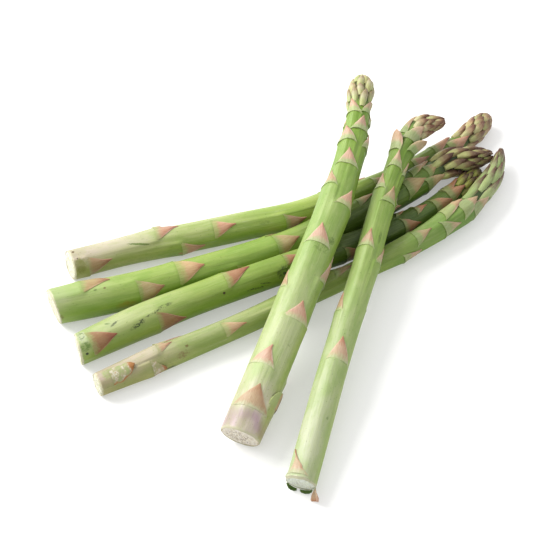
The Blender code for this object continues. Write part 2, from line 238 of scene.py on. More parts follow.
PLANS = (
    SpearPlan(
        name="spear_a",
        route=(
            (-93, 9.5, 6.2), (-64.5, 19, 6), (-21, 31, 6), (7.5, 39, 5.9),
            (34.5, 52, 5.3), (60, 68, 4.5), (84, 85.5, 5.1), (95, 98.5, 5.2),
        ),
        girth=((0, 13), (18, 12.5), (40, 12.8), (110, 12), (130, 11.3), (165, 9.2), (190, 9.4), (212, 10.4)),
        dome=(13.0, 2.2, 2.0),
        cut=(0.125, 0.1),
        leaves={
            LeafKind.PLAIN: (
                (7, 68), (39, -16), (49, 96), (64, 29), (96, 68), (116, -20), (140, 29), (162, 14),
                (171, 78),
            ),
            LeafKind.HOODED: ((175, -18), (182, 34)),
        },
        head=Head(HeadKind.BLUNT, 188.0, 10.5, 17, 46.0, 1.15, -40.0),
        far=(0, -125, -60),
        slot="green_spear",
    ),
    SpearPlan(
        name="spear_b",
        route=(
            (-98, -14, 7.3), (-68.5, -6, 7.2), (-26, 9, 6.5), (2, 20.5, 6.2),
            (28.5, 34, 6.9), (53, 49.5, 8.8), (77, 67.5, 8.6), (94, 73, 7),
        ),
        girth=(
            (0, 15.4), (12, 15.8), (50, 14.7), (100, 13.2), (150, 12.8), (180, 11.2), (203, 10.8), (214, 11),
        ),
        dome=(18.0, 1.6, 1.35),
        cut=(-0.03, 0.22),
        leaves={
            LeafKind.PLAIN: ((80, 92), (118, -50), (142, -37), (150, 66)),
            LeafKind.HOODED: ((171, -43), (174, 84)),
            LeafKind.BROAD: ((13, -34), (36, 58), (54, 11), (99, 23), (164, 26)),
        },
        head=Head(HeadKind.LOOSE, 177.0, 12.5, 18, 40.0, 1.35, 8.0, -1),
        far=(40, -125, -75),
        slot="green_spear",
    ),
    SpearPlan(
        name="spear_c",
        route=(
            (-86, -35.5, 6.3), (-59.5, -21.5, 8), (-19, -3, 9.2), (8.5, 9.5, 8.7),
            (36, 23, 6.8), (62.5, 39, 5.1), (74, 49, 4.6), (88.5, 65.5, 4.4),
        ),
        girth=((0, 13.2), (25, 14.3), (55, 13.2), (110, 12.3), (150, 11), (180, 9.6), (204, 9)),
        dome=(14.0, 1.8, 1.5),
        cut=(0.06, -0.19),
        leaves={
            LeafKind.PLAIN: ((122, 70), (152, 44)),
            LeafKind.HOODED: ((179, 11), (181, -52)),
            LeafKind.BROAD: ((5, 35), (35, 74), (68, -7), (170, 26)),
            LeafKind.SMALL: ((95, 5), (161, -13)),
        },
        head=Head(HeadKind.SHORT, 184.0, 10.0, 16, 46.0, 1.0, 70.0),
        far=(90, -125, -60),
        slot="green_spear",
    ),
    SpearPlan(
        name="spear_d",
        route=(
            (-77, -52, 4.6), (-50.5, -38.5, 5.2), (-11, -17.5, 5.2), (28, 4.5, 5.7),
            (65, 27.5, 7.1), (87, 48.5, 7.2), (95.5, 63.5, 7), (99.5, 77, 6.8),
        ),
        girth=((0, 9.8), (25, 11), (50, 10.2), (120, 9.6), (165, 10), (195, 10.4), (212, 8.8), (226, 8.8)),
        dome=(22.0, 1.7, 1.2),
        cut=(0.1, 0.0),
        leaves={
            LeafKind.PLAIN: (
                (57, 26), (84, 60), (112, -20), (144, 98), (152, 11), (166, 55),
            ),
            LeafKind.HOODED: ((170, -28), (178, 17), (183, 74)),
            LeafKind.SMALL: ((28, -16),),
            LeafKind.TORN: ((6, 26),),
            LeafKind.RAGGED: ((23, 71),),
        },
        head=Head(HeadKind.POINTED, 184.0, 16.0, 20, 40.0, 1.05, -30.0, -1),
        far=(150, -125, -60),
        slot="green_spear",
    ),
    SpearPlan(
        name="spear_e",
        route=(
            (-18, -79.5, 8.1), (-5, -45, 12.9), (10.5, -3.5, 20.3), (22, 29.5, 24.6), (30, 60, 27),
            (35.7, 99.2, 29.8),
        ),
        girth=((0, 16.6), (55, 16.4), (75, 15.2), (118, 14.2), (140, 12), (155, 11.3), (191, 11)),
        dome=(9.0, 2.2, 2.0),
        cut=(-0.1, 0.0),
        leaves={
            LeafKind.PLAIN: (
                (30, -16), (54, 35), (68, -76), (76, 95), (91, 5), (113, 50), (122, -43), (134, 8),
            ),
            LeafKind.LIPPED: ((147, 88), (148, -29), (166, 58)),
            LeafKind.BROAD: ((10, 5),),
            LeafKind.STUB: ((15.5, 82),),
        },
        head=Head(HeadKind.KNOBBLY, 155.0, 9.0, 20, 42.0, 1.05, 26.0, -1),
        far=(20, 115, 245),
        slot="pale_spear",
    ),
    SpearPlan(
        name="spear_f",
        route=(
            (6, -99.7, 6.0), (17.5, -57, 11.5), (34, 0, 16.1), (46, 43.5, 19.6), (54, 65, 20.8),
            (61.5, 76.5, 22), (71.5, 78.5, 23.6),
        ),
        girth=((0, 12.2), (40, 12), (90, 11.2), (140, 10), (160, 8.5), (175, 9), (184, 10), (197, 9)),
        dome=(13.0, 1.8, 1.4),
        cut=(-0.1, 0.0),
        leaves={
            LeafKind.PLAIN: (
                (78, -70), (106, 83), (112, -22), (137, 35), (144, -46), (155, 90), (157, 5),
            ),
            LeafKind.HOODED: ((177, -60), (174, 25)),
            LeafKind.BROAD: ((54, 17),),
            LeafKind.OPENED: ((167, -44), (169, 66)),
            LeafKind.TATTERED: ((1.5, -18),),
            LeafKind.SHRED: ((0.3, 104),),
            LeafKind.FLAP: ((0.3, -137), (0.3, 156)),
        },
        head=Head(HeadKind.BENT, 180.0, 9.5, 14, 46.0, 1.0, 88.0),
        far=(60, 115, 245),
        slot="pale_spear",
    ),
)


# The spears' lines


def smooth(at: np.ndarray, knots: np.ndarray, values: np.ndarray) -> np.ndarray:
    """A curve through the knots that keeps its direction at each one.

    Args:
        at: the places asked for.
        knots: the knots' places.
        values: the values there, one row or number each.

    Returns:
        The values at the places asked for.
    """
    slope = np.gradient(values, knots, axis=0)
    index = np.clip(np.searchsorted(knots, at) - 1, 0, len(knots) - 2)
    step = knots[index + 1] - knots[index]
    share = np.clip((at - knots[index]) / step, 0, 1)
    if values.ndim == 2:
        step, share = step[:, None], share[:, None]
    square, cube = share**2, share**3
    start = (2 * cube - 3 * square + 1) * values[index] + (cube - 2 * square + share) * step * slope[index]
    stop = (3 * square - 2 * cube) * values[index + 1] + (cube - square) * step * slope[index + 1]
    return start + stop


def distances(points: np.ndarray) -> np.ndarray:
    """The way from the first point to each one, along the row of points."""
    return np.r_[0, np.cumsum(np.linalg.norm(np.diff(points, axis=0), axis=1))]


class SpearLine:
    """A spear's centreline and girth, and the way from straight coordinates to places on it."""

    SAMPLES = 800
    HEAD_INSET = 0.9
    INSET_RUN = 7.0
    REACH = 1.5
    LEAN_REACH = 0.4

    def __init__(self, plan: SpearPlan) -> None:
        """Draws the line of a plan.

        Args:
            plan: the spear's plan.
        """
        route = np.array(plan.route, float) + np.array(CENTRING)
        knots = distances(route)
        self.xyz = smooth(np.linspace(0, knots[-1], self.SAMPLES), knots, route)
        self.at = distances(self.xyz)
        girth = np.array(plan.girth, float)
        self.wide = smooth(np.minimum(self.at, girth[-1, 0]), girth[:, 0], girth[:, 1] / 2)
        self.length = float(self.at[-1])
        self.dome, self.power, self.root = plan.dome
        self.head = plan.head.start
        self.packed = self.head + HEAD_SHAPES[plan.head.kind].leafy * (self.length - self.head)

    def centre(self, at: np.ndarray) -> np.ndarray:
        """The centreline's points at these distances from the cut."""
        return np.column_stack([np.interp(at, self.at, self.xyz[:, axis]) for axis in range(3)])

    def radius(self, at: np.ndarray) -> np.ndarray:
        """The skin's radius at these distances from the cut.

        Args:
            at: distances from the cut.

        Returns:
            The radii, which close in a dome at the tip.
        """
        past = np.clip((at - self.length + self.dome) / self.dome, 0, 1)
        inset = self.HEAD_INSET * np.clip((at - self.head) / self.INSET_RUN + 0.5, 0, 1)
        return (np.interp(at, self.at, self.wide) - inset) * (1 - past**self.power) ** (1 / self.root)

    def radius_at(self, at: float) -> float:
        """The skin's radius at one distance from the cut."""
        return float(self.radius(np.array([at]))[0])

    def frame(self, at: np.ndarray) -> tuple[np.ndarray, np.ndarray, np.ndarray]:
        """The spear's own directions at these distances from the cut.

        Args:
            at: distances from the cut.

        Returns:
            The directions along the spear, towards its top and towards its side.
        """
        at = np.clip(at, 0.0, self.length)
        ahead = self.centre(np.minimum(at + self.REACH, self.length))
        along = ahead - self.centre(np.maximum(at - self.REACH, 0))
        along /= np.linalg.norm(along, axis=1)[:, None]
        top = np.array((0.0, 0.0, 1.0)) - along * along[:, 2:]
        top /= np.linalg.norm(top, axis=1)[:, None]
        return along, top, np.cross(along, top)

    def point(
        self, at: np.ndarray, angle: np.ndarray, height: np.ndarray, share: np.ndarray | float = 1.0
    ) -> np.ndarray:
        """Places on or over the skin.

        Args:
            at: distances from the cut.
            angle: angles round from the top, in radians.
            height: heights over the skin.
            share: shares of the radius, under 1 for places inside.

        Returns:
            The points in millimetres.
        """
        along, top, side = self.frame(at)
        radial = top * np.cos(angle)[:, None] + side * np.sin(angle)[:, None]
        ahead = np.minimum(at + self.LEAN_REACH, self.length)
        behind = np.maximum(at - self.LEAN_REACH, 0)
        lean = np.arctan((self.radius(behind) - self.radius(ahead)) / (ahead - behind))[:, None]
        out = radial * np.cos(lean) + along * np.sin(lean)
        before = along * np.minimum(at, 0)[:, None]
        return self.centre(at) + before + radial * (self.radius(at) * share)[:, None] + out * height[:, None]


class Pile:
    """All six lines together, which knows how much room each place on a skin has."""

    STEP = 1.5
    BATCH = 4000
    FAR_AWAY = 99.0
    FULL_ROOM = 1.4
    LEAST_SHARE = 0.02
    OFF_TABLE = 0.03

    def __init__(self, plans: tuple[SpearPlan, ...]) -> None:
        """Draws every line of the pile."""
        self.lines = {plan.name: SpearLine(plan) for plan in plans}

    def free(self, name: str, at: np.ndarray, angle: np.ndarray) -> np.ndarray:
        """Half the room between these places on a skin and the nearest other skin, less half the gap.

        Args:
            name: the spear's name.
            at: distances from the cut.
            angle: angles round from the top, in radians.

        Returns:
            The free heights, under 0 where the skins would overlap.
        """
        line = self.lines[name]
        skin = line.point(at, angle, np.zeros(len(at)))
        nearest = np.full(len(skin), self.FAR_AWAY)
        for other, near in self.lines.items():
            if other == name:
                continue
            steps = np.arange(0, near.length, self.STEP)
            centres, radii = near.centre(steps), near.radius(steps)
            for low in range(0, len(skin), self.BATCH):
                part = slice(low, low + self.BATCH)
                away = np.linalg.norm(skin[part, None] - centres[None], axis=2) - radii
                nearest[part] = np.minimum(nearest[part], away.min(axis=1))
        return (nearest - GAP) / 2

    def lay(
        self,
        name: str,
        at: np.ndarray,
        angle: np.ndarray,
        height: np.ndarray,
        share: np.ndarray | float = 1.0,
    ) -> np.ndarray:
        """Places on a spear, pressed in where a neighbour lies close and kept above the table.

        Args:
            name: the spear's name.
            at: distances from the cut.
            angle: angles round from the top, in radians.
            height: heights over the skin.
            share: shares of the radius.

        Returns:
            The points in millimetres.
        """
        free = self.free(name, at, angle)
        squeeze = np.clip(free / self.FULL_ROOM, self.LEAST_SHARE, 1.0)
        height = np.where(height > 0, height * squeeze, height) + np.minimum(free, 0.0)
        points = self.lines[name].point(at, angle, height, share)
        points[:, 2] = np.maximum(points[:, 2], TABLE + self.OFF_TABLE)
        return points


# Modelling with Blender's tools


def clear_selection() -> None:
    """Deselects everything, so that an operator acts only on what comes next."""
    if bpy.context.object and bpy.context.object.mode != "OBJECT":
        bpy.ops.object.mode_set(mode="OBJECT")
    bpy.ops.object.select_all(action="DESELECT")


def choose(thing: bpy.types.Object) -> None:
    """Makes one object the only one selected and the active one.

    Args:
        thing: the object.
    """
    clear_selection()
    thing.select_set(True)
    bpy.context.view_layer.objects.active = thing


def add_tube(sides: int, radius: float, ends: str) -> bpy.types.Object:
    """Adds an upright tube, one unit long, that stands on the origin.

    Args:
        sides: the count of its sides.
        radius: its radius.
        ends: how Blender fills its ends.

    Returns:
        The tube.
    """
    clear_selection()
    bpy.ops.mesh.primitive_cylinder_add(
        vertices=sides, radius=radius, depth=1.0, end_fill_type=ends, location=(0.0, 0.0, 0.5)
    )
    bpy.ops.object.transform_apply(location=True, rotation=True, scale=True)
    return bpy.context.active_object


def face_outwards() -> None:
    """Turns every face of the mesh in edit mode outwards, and ends edit mode."""
    bpy.ops.mesh.select_all(action="SELECT")
    bpy.ops.mesh.normals_make_consistent(inside=False)
    bpy.ops.object.mode_set(mode="OBJECT")


def edit_edges(thing: bpy.types.Object, wanted: Callable[[bmesh.types.BMEdge], bool]) -> None:
    """Starts edit mode with some of the edges selected.

    Args:
        thing: the active object.
        wanted: says whether an edge is selected.
    """
    bpy.ops.object.mode_set(mode="EDIT")
    bpy.ops.mesh.select_mode(type="EDGE")
    bpy.ops.mesh.select_all(action="DESELECT")
    shape = bmesh.from_edit_mesh(thing.data)
    for edge in shape.edges:
        edge.select_set(wanted(edge))
    bmesh.update_edit_mesh(thing.data)


def read_points(thing: bpy.types.Object) -> np.ndarray:
    """The object's vertices.

    Args:
        thing: the object, in object mode.

    Returns:
        One row for each vertex.
    """
    points = np.empty(len(thing.data.vertices) * 3)
    thing.data.vertices.foreach_get("co", points)
    return points.reshape(-1, 3)


def write_points(thing: bpy.types.Object, points: np.ndarray) -> None:
    """Puts the object's vertices where the rows say."""
    thing.data.vertices.foreach_set("co", np.ascontiguousarray(points, np.float32).ravel())
    thing.data.update()


def keep_vectors(thing: bpy.types.Object, name: str, values: np.ndarray) -> None:
    """Stores a vector for each vertex under a name that the materials read."""
    made = thing.data.attributes.new(name, "FLOAT_VECTOR", "POINT")
    made.data.foreach_set("vector", np.ascontiguousarray(values, np.float32).ravel())


def roughness_at(points: np.ndarray, scale: float, seed: float) -> np.ndarray:
    """Smooth noise from about -1 to 1 at each point, for unevenness in a form."""
    shift = Vector([seed * step for step in NOISE_STEPS])
    return np.array([noise.noise(Vector(row) * scale + shift) for row in points])


# Finishes


class NodeSheet:
    """A material's nodes, added by short calls."""

    def __init__(self, name: str) -> None:
        """Starts a material with its shader only.

        Args:
            name: the material's name.
        """
        self.material = bpy.data.materials.new(name)
        self.material.use_nodes = True
        self.tree = self.material.node_tree
        self.shader = self.tree.nodes["Principled BSDF"]

    def node(self, kind: str, **settings: object) -> bpy.types.Node:
        """Adds a node.

        Args:
            kind: Blender's name for the kind of node.
            settings: the node's own settings.

        Returns:
            The node.
        """
        made = self.tree.nodes.new(kind)
        for key, value in settings.items():
            setattr(made, key, value)
        return made

    def feed(self, socket: bpy.types.NodeSocket, value: object) -> None:
        """Links a socket to another one, or sets it to a constant.

        Args:
            socket: the socket that takes the value.
            value: another node's socket, a number, a vector or a colour.
        """
        if isinstance(value, bpy.types.NodeSocket):
            self.tree.links.new(value, socket)
        elif isinstance(value, tuple) and len(value) == 3 and socket.type == "RGBA":
            socket.default_value = (*value, 1.0)
        else:
            socket.default_value = value

    def dress(self, **values: object) -> None:
        """Feeds the shader's sockets, each by its name with _ for a space.

        Args:
            values: what each socket takes.
        """
        for name, value in values.items():
            self.feed(self.shader.inputs[name.replace("_", " ")], value)

    def vector(self, name: str) -> bpy.types.NodeSocket:
        """The vector that the piece's vertices keep under a name."""
        return self.node("ShaderNodeAttribute", attribute_name=name).outputs["Vector"]

    def parts(self, vector: bpy.types.NodeSocket) -> tuple[bpy.types.NodeSocket, ...]:
        """A vector's three numbers.

        Args:
            vector: the vector.

        Returns:
            The three sockets.
        """
        made = self.node("ShaderNodeSeparateXYZ")
        self.feed(made.inputs[0], vector)
        return tuple(made.outputs)

    def math(self, operation: str, first: object, second: object = 0.0) -> bpy.types.NodeSocket:
        """One sum of two numbers.

        Args:
            operation: Blender's name for the sum.
            first: the first number.
            second: the second number, where the sum has one.

        Returns:
            The outcome.
        """
        made = self.node("ShaderNodeMath", operation=operation)
        self.feed(made.inputs[0], first)
        self.feed(made.inputs[1], second)
        return made.outputs[0]

    def vector_math(self, operation: str, first: object, second: object) -> bpy.types.NodeSocket:
        """One sum of two vectors, or the length of one.

        Args:
            operation: Blender's name for the sum.
            first: the first vector.
            second: the second vector.

        Returns:
            The outcome.
        """
        made = self.node("ShaderNodeVectorMath", operation=operation)
        self.feed(made.inputs[0], first)
        self.feed(made.inputs[1], second)
        return made.outputs["Value" if operation == "LENGTH" else "Vector"]

    def scaled(self, vector: object, factors: tuple[float, float, float]) -> bpy.types.NodeSocket:
        """A vector with each of its numbers times a factor of its own."""
        return self.vector_math("MULTIPLY", vector, factors)

    def span(
        self, value: object, low: float, high: float, start: float = 0.0, stop: float = 1.0
    ) -> bpy.types.NodeSocket:
        """A number taken from one range to another, kept inside it and eased at both ends.

        Args:
            value: the number.
            low: where the first range starts.
            high: where the first range ends.
            start: where the second range starts.
            stop: where the second range ends.

        Returns:
            The number in the second range.
        """
        made = self.node("ShaderNodeMapRange", interpolation_type="SMOOTHSTEP")
        for socket, number in zip(made.inputs, (value, low, high, start, stop)):
            self.feed(socket, number)
        return made.outputs[0]

    def noise(
        self, vector: object, scale: float, detail: float = 2.0, rough: float = 0.5
    ) -> bpy.types.NodeSocket:
        """Smooth noise from 0 to 1.

        Args:
            vector: the place.
            scale: how fine it is.
            detail: how many finer layers it has.
            rough: how strong the finer layers are.

        Returns:
            The noise.
        """
        made = self.node("ShaderNodeTexNoise")
        self.feed(made.inputs["Vector"], vector)
        made.inputs["Scale"].default_value = scale
        made.inputs["Detail"].default_value = detail
        made.inputs["Roughness"].default_value = rough
        return made.outputs["Fac"]

    def waver(
        self, vector: object, scale: float, detail: float, rough: float, amount: float
    ) -> bpy.types.NodeSocket:
        """Smooth noise about 0, by which an edge or a place wavers.

        Args:
            vector: the place.
            scale: how fine it is.
            detail: how many finer layers it has.
            rough: how strong the finer layers are.
            amount: how far it goes from its least to its most.

        Returns:
            The noise.
        """
        about_zero = self.math("SUBTRACT", self.noise(vector, scale, detail, rough), 0.5)
        return self.math("MULTIPLY", about_zero, amount)

    def mix(
        self, share: object, first: object, second: object, blend: str = "MIX"
    ) -> bpy.types.NodeSocket:
        """Two colours blended by a share.

        Args:
            share: the share of the second colour.
            first: the first colour.
            second: the second colour.
            blend: Blender's name for the way they blend.

        Returns:
            The blend.
        """
        made = self.node("ShaderNodeMix", data_type="RGBA", blend_type=blend)
        self.feed(made.inputs["Factor"], share)
        self.feed(made.inputs[6], first)
        self.feed(made.inputs[7], second)
        return made.outputs[2]

    def tint(self, share: object, colour: object, factor: Colour) -> bpy.types.NodeSocket:
        """A colour that turns, by a share, towards itself times a factor."""
        return self.mix(share, colour, self.mix(1.0, colour, factor, "MULTIPLY"))

    def ramp(self, share: object, stops: tuple[tuple[float, Colour], ...]) -> bpy.types.NodeSocket:
        """A colour read off a row of stops.

        Args:
            share: the place on the row.
            stops: each stop's place and colour.

        Returns:
            The colour.
        """
        made = self.node("ShaderNodeValToRGB")
        made.color_ramp.interpolation = "EASE"
        elements = made.color_ramp.elements
        while len(elements) < len(stops):
            elements.new(0.5)
        for element, (place, colour) in zip(elements, stops):
            element.position = place
            element.color = (*colour, 1.0)
        self.feed(made.inputs[0], share)
        return made.outputs[0]

    def bump(
        self, height: object, distance: float, strength: float = 1.0, below: object = None
    ) -> bpy.types.NodeSocket:
        """A bumped normal.

        Args:
            height: the height, from 0 to 1.
            distance: how deep a height of 1 is, in millimetres.
            strength: how much of it shows.
            below: the normal that it lies over, where there is one.

        Returns:
            The normal.
        """
        made = self.node("ShaderNodeBump")
        made.inputs["Strength"].default_value = strength
        made.inputs["Distance"].default_value = distance * MM
        self.feed(made.inputs["Height"], height)
        if below is not None:
            self.feed(made.inputs["Normal"], below)
        return made.outputs[0]

    def flesh(self, colour: object, rough: object, normal: object, depth: float) -> bpy.types.Material:
        """Dresses the shader as flesh, which has a waxy gloss and lets a little light through.

        Args:
            colour: the colour.
            rough: the roughness.
            normal: the bumped normal.
            depth: how much light it lets through.

        Returns:
            The material.
        """
        self.dress(Base_Color=colour, Roughness=rough, Normal=normal)
        self.dress(
            Specular_IOR_Level=0.34, Subsurface_Weight=depth, Subsurface_Radius=(0.9, 1.0, 0.35),
            Subsurface_Scale=1.2 * MM, Coat_Weight=0.12, Coat_Roughness=0.42,
        )
        return self.material


@dataclass(frozen=True)
class StemFinish:
    """The skin of one stem: its colours from the cut to the tip, its painted highlight and shade, and its
    marks.

    Args: name; colours as (share of the length, colour); colour of the streaks; the marks; the depth of its
    ribs and of its broad planes in millimetres; the colour of its edge at the cut; and how strong the painted
    highlight on its upper side, towards the light, is.
    """

    name: str
    colours: tuple[tuple[float, Colour], ...]
    streak: Colour
    marks: tuple[Mark, ...] = ()
    ribs: float = 0.1
    planes: float = 0.8
    lip: Colour = (0.4, 0.38, 0.26)
    painted_highlight: float = 1.0

    def mark(self, sheet: NodeSheet, straight: object, base: object, mark: Mark, radius: float) -> object:
        """Lays one blemish over the colour.

        Args:
            sheet: the material's nodes.
            straight: the straight coordinates.
            base: the colour so far.
            mark: the blemish.
            radius: the stem's radius there.

        Returns:
            The colour with the blemish.
        """
        turn = math.radians(mark.turn)
        centre = (radius * math.cos(turn), radius * math.sin(turn), mark.at)
        mapped = sheet.node("ShaderNodeMapping", vector_type="TEXTURE")
        sheet.feed(mapped.inputs["Vector"], sheet.vector_math("SUBTRACT", straight, centre))
        mapped.inputs["Rotation"].default_value = (math.radians(mark.askew), 0.0, turn)
        mapped.inputs["Scale"].default_value = (MARK_DEPTH, mark.width, mark.length)
        away = sheet.vector_math("LENGTH", mapped.outputs[0], (0.0, 0.0, 0.0))
        wavy = sheet.math("ADD", away, sheet.waver(straight, 1.3, 3.0, 0.6, 1.1))
        cover = sheet.span(wavy, 0.6, 1.05, mark.strength, 0.0)
        elsewhere = sheet.vector_math("ADD", straight, (37.0, 11.0, 5.0))
        crumbs = sheet.noise(sheet.scaled(elsewhere, (1.0, 1.0, 0.5)), 1.5, 3.0, 0.65)
        bits = sheet.span(crumbs, 0.47, 0.54, 1.0 - mark.broken, 1.0)
        return sheet.mix(sheet.math("MULTIPLY", cover, bits), base, mark.colour)

    def material(self, line: SpearLine) -> bpy.types.Material:
        """Builds the skin's material.

        Args:
            line: the spear's line.

        Returns:
            The material.
        """
        sheet = NodeSheet(self.name)
        straight = sheet.vector("straight")
        height, side, along = sheet.parts(straight)
        waver = sheet.waver(straight, 0.09, 2.0, 0.5, 0.09)
        place = sheet.math("ADD", sheet.math("DIVIDE", along, line.length), waver)
        colour = sheet.ramp(place, self.colours)
        drawn = sheet.scaled(straight, (1.0, 1.0, 0.05))
        streaks = sheet.noise(drawn, 1.7, 5.0, 0.62)
        colour = sheet.mix(sheet.span(streaks, 0.46, 0.8, 0.0, 0.3), colour, self.streak)
        clouds = sheet.noise(sheet.scaled(straight, (1.0, 1.0, 0.3)), 0.22, 4.0, 0.6)
        colour = sheet.tint(sheet.span(clouds, 0.36, 0.64, 0.0, 0.65), colour, (0.66, 0.82, 0.45))
        # Painted light: the side towards the key light (up and away) is paled and whitened as a painted
        # highlight, and the side away from it is darkened and made more saturated as painted shade.
        lit = sheet.math("SUBTRACT", sheet.math("MULTIPLY", height, 0.75), sheet.math("MULTIPLY", side, 0.65))
        colour = sheet.tint(sheet.span(lit, 0.5, 5.0, 0.0, self.painted_highlight), colour, (1.28, 1.19, 1.7))
        colour = sheet.tint(sheet.span(lit, 1.0, -4.0, 0.0, 0.8), colour, (0.87, 0.98, 0.44))
        specks = sheet.noise(sheet.scaled(straight, (1.0, 1.0, 0.7)), 1.5, 2.0)
        colour = sheet.mix(sheet.span(specks, 0.66, 0.72, 0.0, 0.5), colour, (0.1, 0.14, 0.02))
        for mark in self.marks:
            colour = self.mark(sheet, straight, colour, mark, line.radius_at(mark.at))
        frayed = sheet.math("ADD", along, sheet.math("MULTIPLY", sheet.noise(straight, 1.1, 3.0, 0.6), -1.6))
        colour = sheet.mix(sheet.span(frayed, -0.35, 0.25, 0.9, 0.0), colour, self.lip)
        # Painted shade: from 1 to 6 mm past where the head's scales crowd in, the stem under them turns dark,
        # as if shaded by them.
        colour = sheet.mix(sheet.span(along, line.packed + 1.0, line.packed + 6.0), colour, PAINTED_HEAD_SHADE)
        ribs = sheet.bump(sheet.noise(drawn, 0.9, 3.0, 0.55), self.ribs * 2.5)
        grain = sheet.bump(sheet.noise(straight, 2.4, 3.0, 0.6), 0.03, 0.7, ribs)
        return sheet.flesh(colour, sheet.span(streaks, 0.2, 0.8, 0.44, 0.56), grain, 0.12)


@dataclass(frozen=True)
class LeafFinish:
    """The skin of leaf scales, from base to tip.

    Args: name; colour at the base, in the middle and at the tip; colour along the rim; share of the length
    that the base colour takes; how wide the rim is; the depth of its veins in millimetres; and how much
    further up a scale its base colour reaches near the head, or near the tip on a head's scales.
    """

    name: str
    base: Colour
    middle: Colour
    tip: Colour
    rim: Colour
    base_share: float = 0.05
    rim_share: float = 0.22
    veins: float = 0.08
    pale_run: float = 0.27

    def peeled(
        self, sheet: NodeSheet, straight: object, across: object, along: object, waver: object
    ) -> object:
        """The colour of a torn scale, raw in the middle and charred at its tip and low side.

        Args:
            sheet: the material's nodes.
            straight: the straight coordinates.
            across: the place across the scale, from -1 to 1.
            along: the place along it, from 0 to 1.
            waver: how its edges waver.

        Returns:
            The colour.
        """
        raw = sheet.ramp(sheet.noise(straight, 0.55, 3.0, 0.6), PEELED_SKIN)
        side = sheet.math("MAXIMUM", along, sheet.math("ADD", sheet.math("MULTIPLY", across, 0.55), 0.32))
        charred = sheet.span(sheet.math("ADD", side, waver), 0.68, 0.84)
        return sheet.mix(charred, raw, (0.26, 0.11, 0.025))

    def green_stub(self, sheet: NodeSheet, across: object, along: object, stub: object) -> object:
        """The colour of a green stub, or the darker one of a flap, browned on the low side.

        Args:
            sheet: the material's nodes.
            across: the place across the scale, from -1 to 1.
            along: the place along it, from 0 to 1.
            stub: how far it is a stub.

        Returns:
            The colour.
        """
        full = sheet.span(stub, 0.7, 0.9)
        green = sheet.mix(full, (0.05, 0.1, 0.01), (0.3, 0.35, 0.14))
        browned = sheet.mix(sheet.span(across, 0.2, 0.6), (0.4, 0.27, 0.13), (0.085, 0.03, 0.006))
        burnt = sheet.span(sheet.math("ADD", across, sheet.math("MULTIPLY", along, 0.25)), -0.2, -0.05)
        return sheet.mix(sheet.math("MULTIPLY", burnt, full), green, browned)

    def material(self, ground: tuple[tuple[float, Colour], ...] = ()) -> bpy.types.Material:
        """Builds the scale's material.

        Args:
            ground: the stem's colours along it, where the base blends into them.

        Returns:
            The material.
        """
        sheet = NodeSheet(self.name)
        straight = sheet.vector("straight")
        across, along, chance = sheet.parts(sheet.vector("share"))
        torn, stub, up = sheet.parts(sheet.vector("state"))
        waver = sheet.waver(straight, 0.5, 4.0, 0.6, 0.42)
        late = sheet.math("MULTIPLY", sheet.math("SUBTRACT", chance, 0.5), 0.12)
        place = sheet.math("ADD", sheet.math("ADD", along, waver), late)
        near_head = sheet.math("MULTIPLY", sheet.math("POWER", up, 2.5), self.pale_run)
        place = sheet.math("SUBTRACT", place, near_head)
        low = self.base_share
        base = sheet.mix(0.45, sheet.ramp(up, ground), self.base) if ground else self.base
        outer = sheet.ramp(place, ((0.0, self.middle), (0.45, self.middle), (0.9, self.tip)))
        colour = sheet.mix(sheet.span(place, low - 0.06, low + 0.26), base, outer)
        drawn = sheet.scaled(straight, (1.0, 0.14, 1.0))
        streaks = sheet.noise(drawn, 2.2, 4.0, 0.65)
        colour = sheet.tint(sheet.span(streaks, 0.42, 0.68, 0.0, 0.5), colour, (0.76, 0.66, 0.56))
        paler = sheet.mix(0.4, colour, (0.5, 0.46, 0.34))
        colour = sheet.mix(sheet.span(streaks, 0.42, 0.26, 0.0, 0.6), colour, paler)
        # Painted shade: each scale's side away from the light (positive across) is darkened and reddened,
        # past its base.
        painted_side_shade = sheet.span(across, -0.2, 0.9, 0.0, 0.6)
        painted_side_shade = sheet.math("MULTIPLY", painted_side_shade, sheet.span(place, low, low + 0.3))
        colour = sheet.tint(painted_side_shade, colour, (0.84, 0.66, 0.56))
        edge = sheet.math("ADD", sheet.math("ABSOLUTE", across), sheet.math("MULTIPLY", waver, 0.6))
        rim = sheet.span(edge, 1.0 - self.rim_share, 1.0, 0.0, 0.9)
        rim = sheet.math("MULTIPLY", rim, sheet.span(along, 0.12, 0.45))
        colour = sheet.mix(rim, colour, self.rim)
        colour = sheet.tint(sheet.span(chance, 0.5, 1.0, 0.0, 0.6), colour, (0.72, 0.88, 0.62))
        colour = sheet.tint(sheet.span(chance, 0.35, 0.0, 0.0, 0.8), colour, (1.2, 1.12, 1.05))
        colour = sheet.mix(torn, colour, self.peeled(sheet, straight, across, along, waver))
        green = self.green_stub(sheet, across, along, stub)
        colour = sheet.mix(sheet.span(stub, 0.0, 0.5), colour, green)
        veins = sheet.bump(sheet.noise(drawn, 2.6, 2.0), self.veins * 2.0)
        return sheet.flesh(colour, sheet.span(streaks, 0.2, 0.8, 0.45, 0.62), veins, 0.08)


